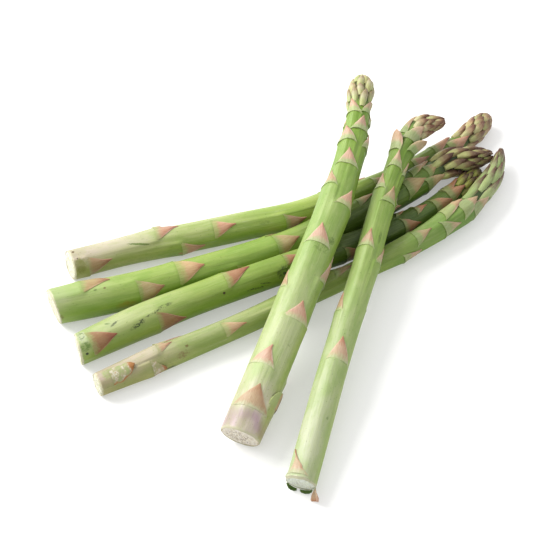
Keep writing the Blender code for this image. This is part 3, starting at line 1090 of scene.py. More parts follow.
@dataclass(frozen=True)
class CutFinish:
    """The fibrous face of a cut end.

    Args: name; colours of the flesh, its darker fibres and its rim; how dark its cracks are; the share of the
    radius where the rim starts; and the rim's colour below, where it is another.
    """

    name: str
    flesh: Colour
    fibre: Colour
    rim: Colour
    cracks: float = 0.3
    rim_start: float = 0.86
    low_rim: Colour | None = None

    def material(self) -> bpy.types.Material:
        """Builds the cut face's material.

        Returns:
            The material.
        """
        sheet = NodeSheet(self.name)
        disk = sheet.vector("disk")
        away = sheet.vector_math("LENGTH", sheet.scaled(disk, (1.0, 1.0, 0.0)), (0.0, 0.0, 0.0))
        mottle = sheet.noise(disk, 7.0, 4.0, 0.7)
        colour = sheet.mix(sheet.span(mottle, 0.4, 0.62, 0.0, 0.9), self.flesh, self.fibre)
        cells = sheet.node("ShaderNodeTexVoronoi", feature="F1")
        sheet.feed(cells.inputs["Vector"], disk)
        cells.inputs["Scale"].default_value = 6.0
        dots = sheet.span(cells.outputs["Distance"], 0.1, 0.26, 0.8, 0.0)
        colour = sheet.mix(dots, colour, self.fibre)
        folds = sheet.noise(sheet.scaled(disk, (1.0, 2.2, 1.0)), 1.9, 4.0, 0.65)
        fold = sheet.math("ABSOLUTE", sheet.math("SUBTRACT", folds, 0.5))
        crack = sheet.span(fold, 0.006, 0.035, self.cracks, 0.0)
        crack = sheet.math("MULTIPLY", crack, sheet.span(away, 0.5, 0.85, 1.0, 0.0))
        crack = sheet.math("MULTIPLY", crack, sheet.span(mottle, 0.34, 0.46))
        colour = sheet.mix(crack, colour, (0.13, 0.085, 0.035))
        ragged = sheet.math("ADD", away, sheet.math("MULTIPLY", sheet.math("SUBTRACT", mottle, 0.5), 0.16))
        height = sheet.parts(disk)[0]
        rim = sheet.mix(sheet.span(height, -0.5, 0.1), self.low_rim or self.rim, self.rim)
        colour = sheet.mix(sheet.span(ragged, self.rim_start, self.rim_start + 0.1), colour, rim)
        pits = sheet.bump(mottle, 0.25, 0.8, sheet.bump(folds, 0.5, 0.6))
        return sheet.flesh(colour, 0.62, pits, 0.15)


@dataclass(frozen=True)
class SpearFinish:
    """The four finishes of one spear."""

    stem: StemFinish
    leaf: LeafFinish
    head: LeafFinish
    cut: CutFinish


FINISHES = {
    "spear_a": SpearFinish(
        StemFinish(
            "stem_a",
            (
                (0.0, (0.33, 0.28, 0.18)), (0.1, (0.31, 0.305, 0.15)), (0.24, (0.24, 0.29, 0.08)),
                (0.5, (0.2, 0.28, 0.04)), (0.75, (0.11, 0.17, 0.015)), (0.9, (0.09, 0.15, 0.012)),
            ),
            (0.36, 0.38, 0.22),
            (
                Mark(30.5, 24, 5.2, 0.55, GREEN_BRUISE, 0.85, 0.1, -14),
                Mark(3.6, 50, 2.8, 4.0, (0.16, 0.17, 0.04), 0.85, 0.25),
                Mark(2.0, -14, 0.8, 0.9, (0.08, 0.045, 0.004), 1.0, 0.1),
                Mark(3.0, 22, 0.5, 0.5, (0.06, 0.03, 0.01), 1.0, 0.1),
                Mark(49.5, 100, 3.2, 0.8, (0.3, 0.12, 0.04), 0.9, 0.4),
                Mark(86.8, 44, 2.4, 1.2, GREEN_BRUISE, 0.4, 0.7),
            ),
            planes=0.55,
        ),
        LeafFinish(
            "scales_a", (0.34, 0.35, 0.18), (0.37, 0.22, 0.145),
            (0.29, 0.12, 0.085), (0.44, 0.27, 0.22), pale_run=0.15,
        ),
        LeafFinish(
            "head_a", (0.36, 0.34, 0.16), (0.3, 0.21, 0.12),
            (0.15, 0.065, 0.04), (0.1, 0.032, 0.028), 0.3, 0.45, pale_run=-0.15,
        ),
        CutFinish("cut_a", (0.64, 0.62, 0.54), (0.42, 0.43, 0.27), (0.26, 0.18, 0.1), 0.2),
    ),
    "spear_b": SpearFinish(
        StemFinish(
            "stem_b",
            (
                (0.0, (0.25, 0.3, 0.11)), (0.06, (0.21, 0.28, 0.07)), (0.2, (0.17, 0.25, 0.035)),
                # the dark stop at 0.62, darker than the one at 0.8, is painted shade where spear e lies over
                # this stem; above it the stem's own green deepens towards the head
                (0.45, (0.16, 0.24, 0.03)), (0.62, (0.06, 0.1, 0.006)), (0.8, (0.07, 0.12, 0.01)),
            ),
            (0.28, 0.34, 0.11),
            (
                Mark(22.4, 12, 0.6, 0.5, BROWN_SCAR, 0.8, 0.1),
                Mark(18.4, 12, 0.8, 0.5, DARK_SCAR, 0.6, 0.2),
                Mark(30.4, 80, 5.0, 2.2, (0.19, 0.16, 0.01), 0.7, 0.5),
                Mark(1.4, 78, 1.4, 1.8, BROWN_SCAR, 0.6, 0.6),
                Mark(60.0, 60, 7.0, 0.8, GREEN_BRUISE, 0.45, 0.7, 4),
            ),
        ),
        LeafFinish(
            "scales_b", (0.31, 0.33, 0.15), (0.36, 0.26, 0.14),
            (0.29, 0.14, 0.08), (0.4, 0.26, 0.17), pale_run=0.35,
        ),
        LeafFinish(
            "head_b", (0.33, 0.34, 0.13), (0.2, 0.14, 0.07),
            (0.085, 0.035, 0.022), (0.065, 0.022, 0.022), 0.32, 0.45, pale_run=-0.2,
        ),
        CutFinish("cut_b", (0.62, 0.59, 0.48), (0.44, 0.42, 0.28), (0.3, 0.26, 0.13), 0.2),
    ),
    "spear_c": SpearFinish(
        StemFinish(
            "stem_c",
            (
                (0.0, (0.26, 0.31, 0.12)), (0.08, (0.24, 0.29, 0.09)), (0.3, (0.17, 0.24, 0.035)),
                # the dark stop at 0.66, darker than the one at 0.84, is painted shade where spear e lies over
                # this stem; above it the stem's own green deepens towards the head
                (0.5, (0.13, 0.195, 0.018)), (0.66, (0.035, 0.065, 0.003)), (0.84, (0.045, 0.08, 0.005)),
            ),
            (0.28, 0.33, 0.12),
            (
                Mark(3.0, -8, 2.4, 4.0, RAW_FLESH, 0.95, 0.5),
                Mark(2.8, -10, 1.8, 3.2, (0.05, 0.09, 0.01), 0.9, 0.85),
                Mark(2.6, 36, 2.6, 2.0, (0.06, 0.12, 0.01), 0.75, 0.7),
                Mark(2.4, 60, 0.6, 0.6, DARK_SCAR, 1.0, 0.05),
                Mark(16.0, -3, 3.6, 2.4, (0.27, 0.32, 0.14), 0.9, 0.6),
                Mark(17.4, 4, 2.2, 0.6, DARK_SCAR, 0.9, 0.3, 20),
                Mark(15.0, -8, 1.4, 0.5, GREEN_BRUISE, 0.8, 0.5, -30),
                Mark(26.5, 40, 4.4, 1.1, DARK_SCAR, 0.85, 0.95, 14),
                Mark(34.0, 26, 6.5, 0.7, DARK_SCAR, 0.7, 0.97, 8),
                Mark(40.0, 16, 3.5, 0.9, DARK_SCAR, 0.55, 0.97),
                Mark(65.2, 48, 0.7, 0.7, (0.03, 0.01, 0.004), 1.0, 0.05),
                Mark(79.5, 76, 7.0, 0.6, DARK_SCAR, 0.8, 0.9, -6),
                Mark(84.0, 68, 3.0, 0.45, DARK_SCAR, 0.8, 0.5, -16),
                Mark(92.8, 52, 3.6, 3.2, (0.02, 0.035, 0.004), 0.85, 0.6),
                Mark(93.2, 52, 1.9, 1.7, (0.12, 0.2, 0.02), 0.8, 0.4),
                Mark(93.0, 54, 1.0, 0.9, DARK_SCAR, 0.9, 0.2),
            ),
        ),
        LeafFinish(
            "scales_c", (0.31, 0.31, 0.14), (0.27, 0.14, 0.07),
            (0.24, 0.08, 0.045), (0.36, 0.19, 0.13), pale_run=0.2,
        ),
        LeafFinish(
            "head_c", (0.2, 0.21, 0.04), (0.13, 0.1, 0.035),
            (0.045, 0.018, 0.012), (0.05, 0.02, 0.016), 0.34, 0.5, pale_run=-0.1,
        ),
        CutFinish("cut_c", (0.62, 0.6, 0.5), (0.4, 0.4, 0.26), (0.24, 0.2, 0.1), 0.3),
    ),
    "spear_d": SpearFinish(
        StemFinish(
            "stem_d",
            (
                (0.0, (0.31, 0.25, 0.165)), (0.1, (0.28, 0.26, 0.13)), (0.2, (0.23, 0.27, 0.09)),
                (0.5, (0.19, 0.25, 0.045)), (0.75, (0.13, 0.21, 0.035)), (0.84, (0.1, 0.17, 0.03)),
            ),
            (0.31, 0.33, 0.17),
            (
                Mark(5.6, 6, 3.6, 2.6, (0.22, 0.26, 0.09), 0.9, 0.5),
                Mark(31.0, 104, 2.6, 0.9, DARK_SCAR, 0.9, 0.5),
                Mark(37.0, 60, 3.0, 2.0, (0.16, 0.1, 0.04), 0.7, 0.9),
                Mark(39.6, 28, 0.8, 0.6, BROWN_SCAR, 0.9, 0.3),
            ),
        ),
        LeafFinish(
            "scales_d", (0.35, 0.37, 0.21), (0.36, 0.26, 0.16),
            (0.28, 0.12, 0.075), (0.42, 0.26, 0.21), pale_run=0.7,
        ),
        LeafFinish(
            "head_d", (0.26, 0.32, 0.13), (0.24, 0.26, 0.13),
            (0.12, 0.06, 0.04), (0.2, 0.1, 0.08), 0.42, 0.36, pale_run=-0.5,
        ),
        CutFinish("cut_d", (0.62, 0.6, 0.5), (0.36, 0.38, 0.22), (0.32, 0.25, 0.16), 0.35),
    ),
    "spear_e": SpearFinish(
        StemFinish(
            "stem_e",
            (
                (0.0, (0.42, 0.36, 0.29)), (0.03, (0.36, 0.255, 0.28)), (0.065, (0.42, 0.39, 0.28)),
                (0.16, (0.335, 0.375, 0.185)), (0.55, (0.22, 0.3, 0.08)), (0.78, (0.15, 0.24, 0.03)),
            ),
            (0.39, 0.44, 0.22),
            (
                Mark(90.0, 18, 3.6, 4.6, GREEN_BRUISE, 0.4, 0.9),
                Mark(94.8, 46, 2.0, 1.8, GREEN_BRUISE, 0.7, 0.7),
                Mark(70.0, 64, 2.0, 1.4, GREEN_BRUISE, 0.3, 0.6),
            ),
            planes=1.7,
            painted_highlight=0.12,
        ),
        LeafFinish(
            "scales_e", (0.42, 0.42, 0.28), (0.43, 0.285, 0.205),
            (0.39, 0.21, 0.14), (0.5, 0.36, 0.29),
        ),
        LeafFinish(
            "head_e", (0.35, 0.37, 0.16), (0.37, 0.345, 0.21),
            (0.27, 0.2, 0.12), (0.14, 0.11, 0.05), 0.3, 0.36,
        ),
        CutFinish("cut_e", (0.64, 0.6, 0.51), (0.46, 0.4, 0.3), (0.34, 0.21, 0.09), 1.0, 0.88),
    ),
    "spear_f": SpearFinish(
        StemFinish(
            "stem_f",
            (
                (0.0, (0.34, 0.36, 0.22)), (0.05, (0.335, 0.37, 0.205)), (0.3, (0.28, 0.335, 0.14)),
                (0.6, (0.2, 0.28, 0.06)), (0.82, (0.13, 0.21, 0.022)), (0.9, (0.1, 0.17, 0.018)),
            ),
            (0.38, 0.43, 0.2),
            (
                Mark(35.0, 88, 0.9, 0.8, GREEN_BRUISE, 0.8, 0.3),
                Mark(28.0, 40, 0.7, 0.6, GREEN_BRUISE, 0.6, 0.3),
                Mark(118.0, 36, 3.4, 0.9, GREEN_BRUISE, 0.6, 0.6),
            ),
            planes=1.7,
            painted_highlight=0.4,
        ),
        LeafFinish(
            "scales_f", (0.41, 0.42, 0.26), (0.42, 0.3, 0.2),
            (0.37, 0.17, 0.1), (0.5, 0.34, 0.25), pale_run=0.4,
        ),
        LeafFinish(
            "head_f", (0.38, 0.36, 0.19), (0.29, 0.2, 0.11),
            (0.13, 0.05, 0.03), (0.1, 0.04, 0.03), 0.3, 0.45, pale_run=-0.2,
        ),
        CutFinish(
            "cut_f", (0.58, 0.61, 0.54), (0.42, 0.46, 0.34),
            (0.22, 0.28, 0.08), 0.4, 0.9, (0.045, 0.1, 0.01),
        ),
    ),
}


# The pieces of a spear


@dataclass(frozen=True)
class Leaf:
    """One leaf scale.

    Args: distance of its base from the cut, its turn, length and half width, its form, its height beside
    the form's, its chance tint from 0 to 1, and the lean of its tip as a share of its half width.
    """

    at: float
    turn: float
    length: float
    half_width: float
    shape: LeafShape | HeadShape
    height: float
    tint: float
    skew: float


class Blank:
    """A flat leaf scale, two wide and one long, modelled once and copied for every scale."""

    def __init__(self, name: str, across: int, along: int) -> None:
        """Models the blank.

        Args:
            name: its name.
            across: the count of faces across it.
            along: the count of faces along it.
        """
        clear_selection()
        bpy.ops.mesh.primitive_grid_add(x_subdivisions=across, y_subdivisions=along, size=2.0)
        self.thing = bpy.context.active_object
        self.thing.name = name
        bpy.ops.object.mode_set(mode="EDIT")
        bpy.ops.mesh.select_all(action="SELECT")
        bpy.ops.transform.resize(value=(1.0, 0.5, 1.0), center_override=(0.0, 0.0, 0.0))
        bpy.ops.transform.translate(value=(0.0, 0.5, 0.0))
        bpy.ops.mesh.extrude_region_move(TRANSFORM_OT_translate={"value": (0.0, 0.0, -1.0)})
        face_outwards()

    def copy(self, name: str) -> bpy.types.Object:
        """Copies the blank with a mesh of its own.

        Args:
            name: the copy's name.

        Returns:
            The copy.
        """
        made = self.thing.copy()
        made.data = self.thing.data.copy()
        made.name = name
        bpy.context.scene.collection.objects.link(made)
        return made

    def discard(self) -> None:
        """Removes the blank once its copies are made."""
        bpy.data.objects.remove(self.thing)


@dataclass(frozen=True)
class LeafForm:
    """What all leaf scales below the heads share, in millimetres or in shares of a scale's length or width.

    Args: the width left at the tip; how far the sides wave and how fast, and how far, how fast and how finely
    a ragged one tears; the power of the tip's lean; the power of the middle's swelling and the run over which
    it falls to the tip; how far the root is inset, how far it rises towards the head and by what power, and
    the run over which it meets the scale; how much lower the tip is, the power of its lift, and the height
    left at the very edge; how far, how finely and how fast a ragged one crumples, across and along; where the
    underside of a lifted one leaves the stem; and how far up the corners reach, by what power, and over what
    run.
    """

    least_width: float = 0.03
    wave: float = 0.08
    wave_pace: float = 3.0
    tear: float = 0.35
    tear_pace: float = 7.0
    tear_scale: float = 1.4
    lean_power: float = 1.5
    swell_power: float = 2.6
    edge_run: float = 0.12
    root_inset: float = 0.05
    root_rise: float = 0.36
    root_power: float = 1.5
    root_run: float = 0.2
    lower: float = 0.3
    lift_power: float = 1.7
    edge_height: float = 0.8
    crumple: float = 0.5
    crumple_scale: float = 1.2
    crumple_pace: tuple[float, float] = (3.0, 5.0)
    loose_from: float = 0.4
    corner_reach: float = 0.6
    corner_power: int = 4
    corner_run: float = 0.3


@dataclass(frozen=True)
class HeadForm:
    """What all the heads' scales share, in millimetres or in shares of a scale's length or width.

    Args: the width at the base and at the very tip; the power by which it narrows; how far the sides are sunk
    beside the middle; the share of a half wave that its body follows, from where and by what power; how far
    its skin is uneven and how fast that changes; and its underside's depth at the base, its depth under the
    tip and the tip's share in it.
    """

    base_width: float = 0.6
    least_width: float = 0.04
    narrow_power: float = 1.7
    sunk_sides: float = 0.1
    body_start: float = 0.1
    body_run: float = 0.7
    body_power: float = 0.8
    uneven: float = 0.07
    uneven_pace: float = 3.0
    under_base: float = 0.7
    under_tip: float = 0.6
    tip_share: float = 0.5


@dataclass
class Spear:
    """One spear: its stem, cut face, leaf scales and head.

    Args: its plan, the pile it lies in and its number, which seeds its chances. The rest are sizes that all
    spears share, grouped by the piece that they belong to.
    """

    plan: SpearPlan
    pile: Pile
    number: int

    # The stem: its faces, and its broad planes, which sway round it
    sides: int = 96
    cuts_along: tuple[int, ...] = (12, 13)
    cut_rings: tuple[float, ...] = (0.99, 0.96, 0.92, 0.7)
    tip_rings: tuple[float, ...] = (0.3,)
    stem_crease: float = 40.0
    plane_count: int = 5
    plane_corner: float = 0.45
    plane_wave: float = 0.065
    plane_mean: float = 0.08
    sway: float = 0.2
    sway_run: float = 37.0
    grown: float = 0.6
    drift: float = 0.1
    drift_run: float = 13.0
    drift_turn: float = 40.0
    tip_run: float = 6.0
    inner_share: float = 0.5

    # The swelling under each scale, and the ridges that run down from its corners
    node_swell: float = 0.8
    swell_run: float = 8.0
    swell_stop: float = 1.6
    window: float = 1.02
    window_slope: float = 9.0
    ridge: float = 0.3
    ridge_run: float = 20.0
    ridge_place: float = 0.98
    ridge_width: float = 0.14

    # The cut end: its round, sunken edge on the stem, and the plug that is its face
    edge_shares: tuple[float, ...] = (0.92, 0.96, 0.99, 1.0)
    edge_depths: tuple[float, ...] = (0.0, 0.05, 0.25, 0.7)
    fray: float = 0.25
    fray_scale: float = 2.6
    tilt_run: float = 4.0
    sunk: float = 0.7
    sunk_share: float = 0.95
    plug_sides: int = 72
    plug_radius: float = 0.955
    plug_depth: float = 1.6
    plug_rings: tuple[float, ...] = (0.02, 0.05, *(0.075,) * 11)
    plug_crease: float = 60.0
    fibre_depth: float = 0.26
    fibre_share: float = 0.93
    fibre_scale: float = 3.2
    fine_scale: float = 8.0
    fine_share: float = 0.5
    dish: tuple[float, float] = (-0.1, 0.35)
    dish_share: float = 0.72
    dish_run: float = 0.2
    plug_off_table: float = 0.05

    # The scales: where the hidden ones lie, how much chance varies them all, and their thickness
    far_start: float = 20.0
    far_step: float = 11.0
    far_margin: float = 35.0
    room_run: float = 8.0
    room_step: float = 2.0
    least_room: float = 0.7
    length_chance: float = 0.16
    width_chance: float = 0.14
    skew_chance: float = 0.7
    lipped_step: float = 3.4
    root_depth: float = 0.5
    least_thick: float = 0.3
    lifted_thick: float = 0.32
    least_at: float = 0.3
    scale_crease: float = 55.0

    # The head: how its scales stand along it, and how their points are kept near its tip
    crowding: float = 0.5
    tip_margin: float = 2.0
    turn_chance: float = 30.0
    last_shorter: float = 0.45
    last_wider: float = 0.6
    past_tip: float = 0.6
    before_tip: float = 0.05
    head_thick: float = 0.25

    leaf_form: LeafForm = LeafForm()
    head_form: HeadForm = HeadForm()

    def __post_init__(self) -> None:
        """Takes the spear's line and finishes, seeds its chances and places its scales."""
        self.line = self.pile.lines[self.plan.name]
        self.finish = FINISHES[self.plan.name]
        self.chance = np.random.default_rng(SEED + self.number)
        self.leaves = self.place_leaves()

    def skew(self) -> float:
        """A chance lean of a scale's tip, as a share of its half width."""
        return float(self.skew_chance * (self.chance.random() - 0.5))

    def varied(self, amount: float) -> float:
        """A chance factor about 1, which varies by this amount in all."""
        return 1 + amount * (self.chance.random() - 0.5)

    def hidden_spots(self) -> list[tuple[LeafKind, float, float]]:
        """Places scales on the hidden side, a golden angle apart, where a neighbour leaves them room.

        Returns:
            Each scale's kind, distance from the cut and turn.
        """
        phase, low, high = self.plan.far
        found = []
        for index in range(int((self.plan.head.start - self.far_margin) / self.far_step)):
            at = self.far_start + index * self.far_step
            turn = (phase + index * GOLDEN_TURN - low) % 360.0 + low
            ahead = at + np.arange(0.0, self.room_run, self.room_step)
            room = self.pile.free(self.plan.name, ahead, np.full(len(ahead), math.radians(turn)))
            if turn <= high and room.min() > self.least_room:
                found.append((LeafKind.PLAIN, at, turn))
        return found

    def place_leaves(self) -> list[Leaf]:
        """Places the leaf scales below the head, seen ones, hidden ones and the lipped ones on the head.

        Returns:
            The scales.
        """
        head = self.plan.head
        seen = [(kind, at, turn) for kind, spots in self.plan.leaves.items() for at, turn in spots]
        found = []
        for kind, at, turn in seen + self.hidden_spots():
            shape = LEAF_SHAPES[kind]
            length = shape.low_length + (shape.high_length - shape.low_length) * at / head.start
            length *= self.varied(self.length_chance)
            wide = shape.half_width * self.varied(self.width_chance)
            tint = float(self.chance.random())
            found.append(Leaf(at, turn, length, wide, shape, 1.0, tint, self.skew()))
        lipped = LEAF_SHAPES[LeafKind.LIPPED]
        for index in range(int((self.line.packed - head.start) / self.lipped_step)):
            at = head.start + index * self.lipped_step
            turn = head.phase + head.hand * GOLDEN_TURN * index
            tint = float(self.chance.random())
            size = (lipped.high_length, lipped.half_width)
            found.append(Leaf(at, turn, *size, lipped, 1.0, tint, self.skew()))
        return found

    def place_head(self) -> list[Leaf]:
        """Places the head's scales, each a golden angle round from the last.

        Returns:
            The scales.
        """
        head = self.plan.head
        shape = HEAD_SHAPES[head.kind]
        start = self.line.packed
        span = self.line.length - start - self.tip_margin
        count = int(head.count * shape.crowd)
        found = []
        for index in range(count):
            share = index / (count - 1)
            at = start + span * share * (1 + self.crowding - self.crowding * share)
            turn = head.phase + head.hand * GOLDEN_TURN * index
            turn += shape.jitter * self.turn_chance * (self.chance.random() - 0.5)
            length = head.length * shape.short * (1 - self.last_shorter * share)
            length *= self.varied(shape.jitter)
            wide = head.half_width * shape.narrow * (1 + self.last_wider * share**2)
            tint = float(self.chance.random())
            found.append(Leaf(at, turn, length, wide, shape, head.height, tint, self.skew()))
        return found

    def swelling(self, at: np.ndarray, angle: np.ndarray, skipped: Leaf | None = None) -> np.ndarray:
        """How far the stem stands out below the bases of its leaf scales, or of all but one.

        Args:
            at: distances from the cut.
            angle: angles round from the top, in radians.
            skipped: the scale that is left out.

        Returns:
            The heights.
        """
        height = np.zeros(len(at))
        for leaf in self.leaves:
            if leaf is skipped or leaf.length < 0:
                continue
            below = leaf.at - at
            turned = np.degrees(angle) - leaf.turn
            turned = np.abs((turned + 180.0) % 360.0 - 180.0)
            across = turned / leaf.half_width
            window = 1 / (1 + np.exp((across - self.window) * self.window_slope))
            above = np.clip(1 + below / self.swell_stop, 0, 1)
            rise = np.where(below > 0, np.exp(-below / self.swell_run), above)
            height = np.maximum(height, self.node_swell * window * rise)
            ridge = np.exp(-(((across - self.ridge_place) / self.ridge_width) ** 2))
            ridge = ridge * np.exp(-below / self.ridge_run) * (below > 0)
            height = height + self.ridge * np.where(below > 0, ridge, 0.0)
        return height

    def facets(self, at: np.ndarray, angle: np.ndarray) -> np.ndarray:
        """The stem's broad lengthwise planes and its slight unevenness.

        Args:
            at: distances from the cut.
            angle: angles round from the top, in radians.

        Returns:
            The heights over the round skin.
        """
        sector = 2 * math.pi / self.plane_count
        turned = angle + self.sway * np.sin(at / self.sway_run + self.number) + self.number
        sharp = 1 / np.cos(turned % sector - sector / 2) - 1.0
        corner = self.plane_corner * sharp + self.plane_wave * (1 + np.cos(self.plane_count * turned))
        drift = self.drift * np.sin(at / self.drift_run + 2.0 * self.number)
        drift = drift * np.cos(angle + at / self.drift_turn)
        grown = self.grown + self.grown * at / self.line.length
        return self.finish.stem.planes * grown * (corner - self.plane_mean) + drift

    def tilt(self, at: np.ndarray, angle: np.ndarray, share: np.ndarray) -> np.ndarray:
        """How far the tilted cut moves these places along the spear.

        Args:
            at: distances from the cut.
            angle: angles round from the top, in radians.
            share: shares of the radius.

        Returns:
            The way along the spear.
        """
        to_top, to_side = self.plan.cut
        return (to_top * np.cos(angle) + to_side * np.sin(angle)) * self.line.radius(at) * share

    def close_end(self, stem: bpy.types.Object, height: float, rings: tuple[float, ...]) -> None:
        """Closes one end of the straight tube, with rings of faces inside each other.

        Args:
            stem: the tube.
            height: where the end is, 0 or 1.
            rings: each ring's share of the radius.
        """
        for ring in rings:
            points = read_points(stem)
            away = np.hypot(points[:, 0], points[:, 1])
            end = np.abs(points[:, 2] - height) < TINY
            inner = end & (away < away[end].min() + 10 * TINY)
            edit_edges(stem, lambda edge: all(inner[vertex.index] for vertex in edge.verts))
            scale = ring / float(away[inner].mean())
            bpy.ops.mesh.extrude_edges_move()
            bpy.ops.transform.resize(value=(scale, scale, 1.0), center_override=(0.0, 0.0, height))
            bpy.ops.object.mode_set(mode="OBJECT")
        bpy.ops.object.mode_set(mode="EDIT")
        bpy.ops.mesh.edge_face_add()
        bpy.ops.object.mode_set(mode="OBJECT")

    def build_stem(self) -> bpy.types.Object:
        """Models the stem as a straight tube with closed ends, and lays it along its line.

        Returns:
            The stem.
        """
        stem = add_tube(self.sides, 1.0, "NOTHING")
        for cuts in self.cuts_along:
            edit_edges(stem, lambda edge: abs(edge.verts[0].co.z - edge.verts[1].co.z) > TINY)
            bpy.ops.mesh.subdivide(number_cuts=cuts)
            bpy.ops.object.mode_set(mode="OBJECT")
        self.close_end(stem, 0.0, self.cut_rings)
        self.close_end(stem, 1.0, self.tip_rings)
        choose(stem)
        bpy.ops.object.mode_set(mode="EDIT")
        face_outwards()
        self.lay_stem(stem)
        self.finish_piece(stem, "stem", self.finish.stem.material(self.line), self.stem_crease)
        return stem

    def lay_stem(self, stem: bpy.types.Object) -> None:
        """Lays the straight tube along the spear's line, with its planes, swellings and tilted cut.

        Args:
            stem: the tube.
        """
        points = read_points(stem)
        share = np.hypot(points[:, 0], points[:, 1])
        angle = np.arctan2(points[:, 1], points[:, 0])
        at = points[:, 2] * self.line.length
        near_cut = points[:, 2] < HALF_WAY
        circle = np.column_stack([np.cos(angle), np.sin(angle), 0 * at])
        round_edge = np.interp(share, self.edge_shares, self.edge_depths)
        round_edge = round_edge + self.fray * roughness_at(circle, self.fray_scale, self.number)
        at = at + np.where(near_cut & (at < NEAR), round_edge, 0.0)
        skin = share > SKIN_SHARE
        height = np.where(skin, self.facets(at, angle) + self.swelling(at, angle), 0.0)
        height *= np.clip((self.line.length - at) / self.tip_run, 0, 1)
        inner = self.facets(at, angle) * ~skin
        laid = self.pile.lay(self.plan.name, at, angle, height + inner * self.inner_share, share)
        along = self.line.frame(at)[0]
        laid += along * (self.tilt(at, angle, share) * np.clip(1 - at / self.tilt_run, 0, 1))[:, None]
        laid += along * np.where((share < self.sunk_share) & near_cut, self.sunk, 0.0)[:, None]
        laid[:, 2] = np.maximum(laid[:, 2], TABLE)
        radius = self.line.radius(at)
        straight = np.column_stack([radius * share * np.cos(angle), radius * share * np.sin(angle), at])
        keep_vectors(stem, "straight", straight)
        write_points(stem, laid * MM)

    def build_cut(self) -> bpy.types.Object:
        """Models the cut face as a short plug with rings across it, roughened and laid at the cut.

        Returns:
            The cut face.
        """
        cut = add_tube(self.plug_sides, self.plug_radius, "NGON")
        bpy.ops.object.mode_set(mode="EDIT")
        bpy.ops.mesh.select_mode(type="FACE")
        bpy.ops.mesh.select_all(action="DESELECT")
        shape = bmesh.from_edit_mesh(cut.data)
        for face in shape.faces:
            face.select_set(len(face.verts) > 4 and face.calc_center_median().z < NEAR)
        bmesh.update_edit_mesh(cut.data)
        for thickness in self.plug_rings:
            bpy.ops.mesh.inset(thickness=thickness, depth=0.0)
        bpy.ops.mesh.poke()
        bpy.ops.object.mode_set(mode="OBJECT")
        self.lay_cut(cut)
        self.finish_piece(cut, "cut", self.finish.cut.material(), self.plug_crease)
        return cut

    def lay_cut(self, cut: bpy.types.Object) -> None:
        """Roughens the plug's face and lays the plug at the spear's tilted cut.

        Args:
            cut: the plug.
        """
        points = read_points(cut)
        share = np.hypot(points[:, 0], points[:, 1])
        angle = np.arctan2(points[:, 1], points[:, 0])
        face = points[:, 2] < NEAR
        rough = roughness_at(points * (1.0, 1.0, 0.0), self.fibre_scale, self.number)
        rough += self.fine_share * roughness_at(points, self.fine_scale, self.number + 9)
        dished = self.dish[0] + self.dish[1] * np.clip((share - self.dish_share) / self.dish_run, 0, 1)
        proud = np.where(face, dished - self.fibre_depth * rough * (share < self.fibre_share), 0.0)
        at = np.where(face, 0.0, self.plug_depth)
        laid = self.line.point(at, angle, np.zeros(len(at)), share)
        laid += self.line.frame(at)[0] * (self.tilt(at, angle, share) + proud)[:, None]
        laid[:, 2] = np.maximum(laid[:, 2], TABLE + self.plug_off_table)
        keep_vectors(cut, "disk", np.column_stack([points[:, :2], np.where(face, 0.0, 1.0) + self.number]))
        write_points(cut, laid * MM)

    def shape_leaf(self, copy: bpy.types.Object, leaf: Leaf) -> None:
        """Shapes a flat copy into a leaf scale below the head and lays it on the stem.

        Args:
            copy: the copy.
            leaf: the scale's place.
        """
        shape, form = leaf.shape, self.leaf_form
        across, along, layer = read_points(copy).T
        sides = np.column_stack([np.sign(across), along * form.wave_pace, 0 * along])
        wave = form.wave * roughness_at(sides, 1.0, leaf.at)
        wide = (1 - along) ** shape.taper * (1 + shape.bulge * along)
        wide = wide * (1 - form.least_width) + form.least_width
        wide = wide * (1 + wave * along)
        if shape.ragged:
            sides = np.column_stack([np.sign(across), along * form.tear_pace, 0 * along])
            tear = form.tear * roughness_at(sides, form.tear_scale, leaf.at)
            wide = wide * (1 + tear * shape.ragged)
        lean = (leaf.skew + shape.lean) * along**form.lean_power
        swell = 1 - np.abs(across) ** form.swell_power
        edge = np.clip((1 - along) / form.edge_run, 0, 1)
        full = shape.rim + (shape.middle - shape.rim) * swell * edge
        up = leaf.at / self.line.length
        root = self.node_swell * (shape.low_length > 0) - form.root_inset
        root = root + form.root_rise * up**form.root_power
        start = np.clip(along / form.root_run, 0, 1)
        top = root * (1 - start) + full * start
        top = top * (1 - form.lower * along) + shape.lift * along**form.lift_power
        top = np.where(np.abs(across) > 1 - NEAR, top * form.edge_height, top)
        if shape.ragged:
            pace_across, pace_along = form.crumple_pace
            crumple = np.column_stack([across * pace_across, along * pace_along, 0 * along])
            top = top + form.crumple * roughness_at(crumple, form.crumple_scale, leaf.turn) * along
        under = np.full(len(top), -self.root_depth)
        if shape.low_length < 0:
            under = top - self.least_thick
        elif shape.lift:
            under = np.where(along > form.loose_from, top - self.lifted_thick, under)
        height = np.where(layer > -HALF_WAY, top, np.minimum(under, top - self.least_thick))
        corner = (form.corner_reach + up) * np.abs(across) ** form.corner_power
        corner = corner * np.clip(1 - along / form.corner_run, 0, 1)
        at = leaf.at + leaf.length * along - shape.corners * corner
        angle = np.radians(leaf.turn + leaf.half_width * (wide * across + lean))
        if shape.low_length > 0:
            at = np.maximum(at, self.least_at)
            height = height + np.maximum(self.facets(at, angle), 0) + self.swelling(at, angle, leaf)
        self.lay_leaf(copy, leaf, (at, angle, height), (wide, leaf.length), (*shape.state, up))

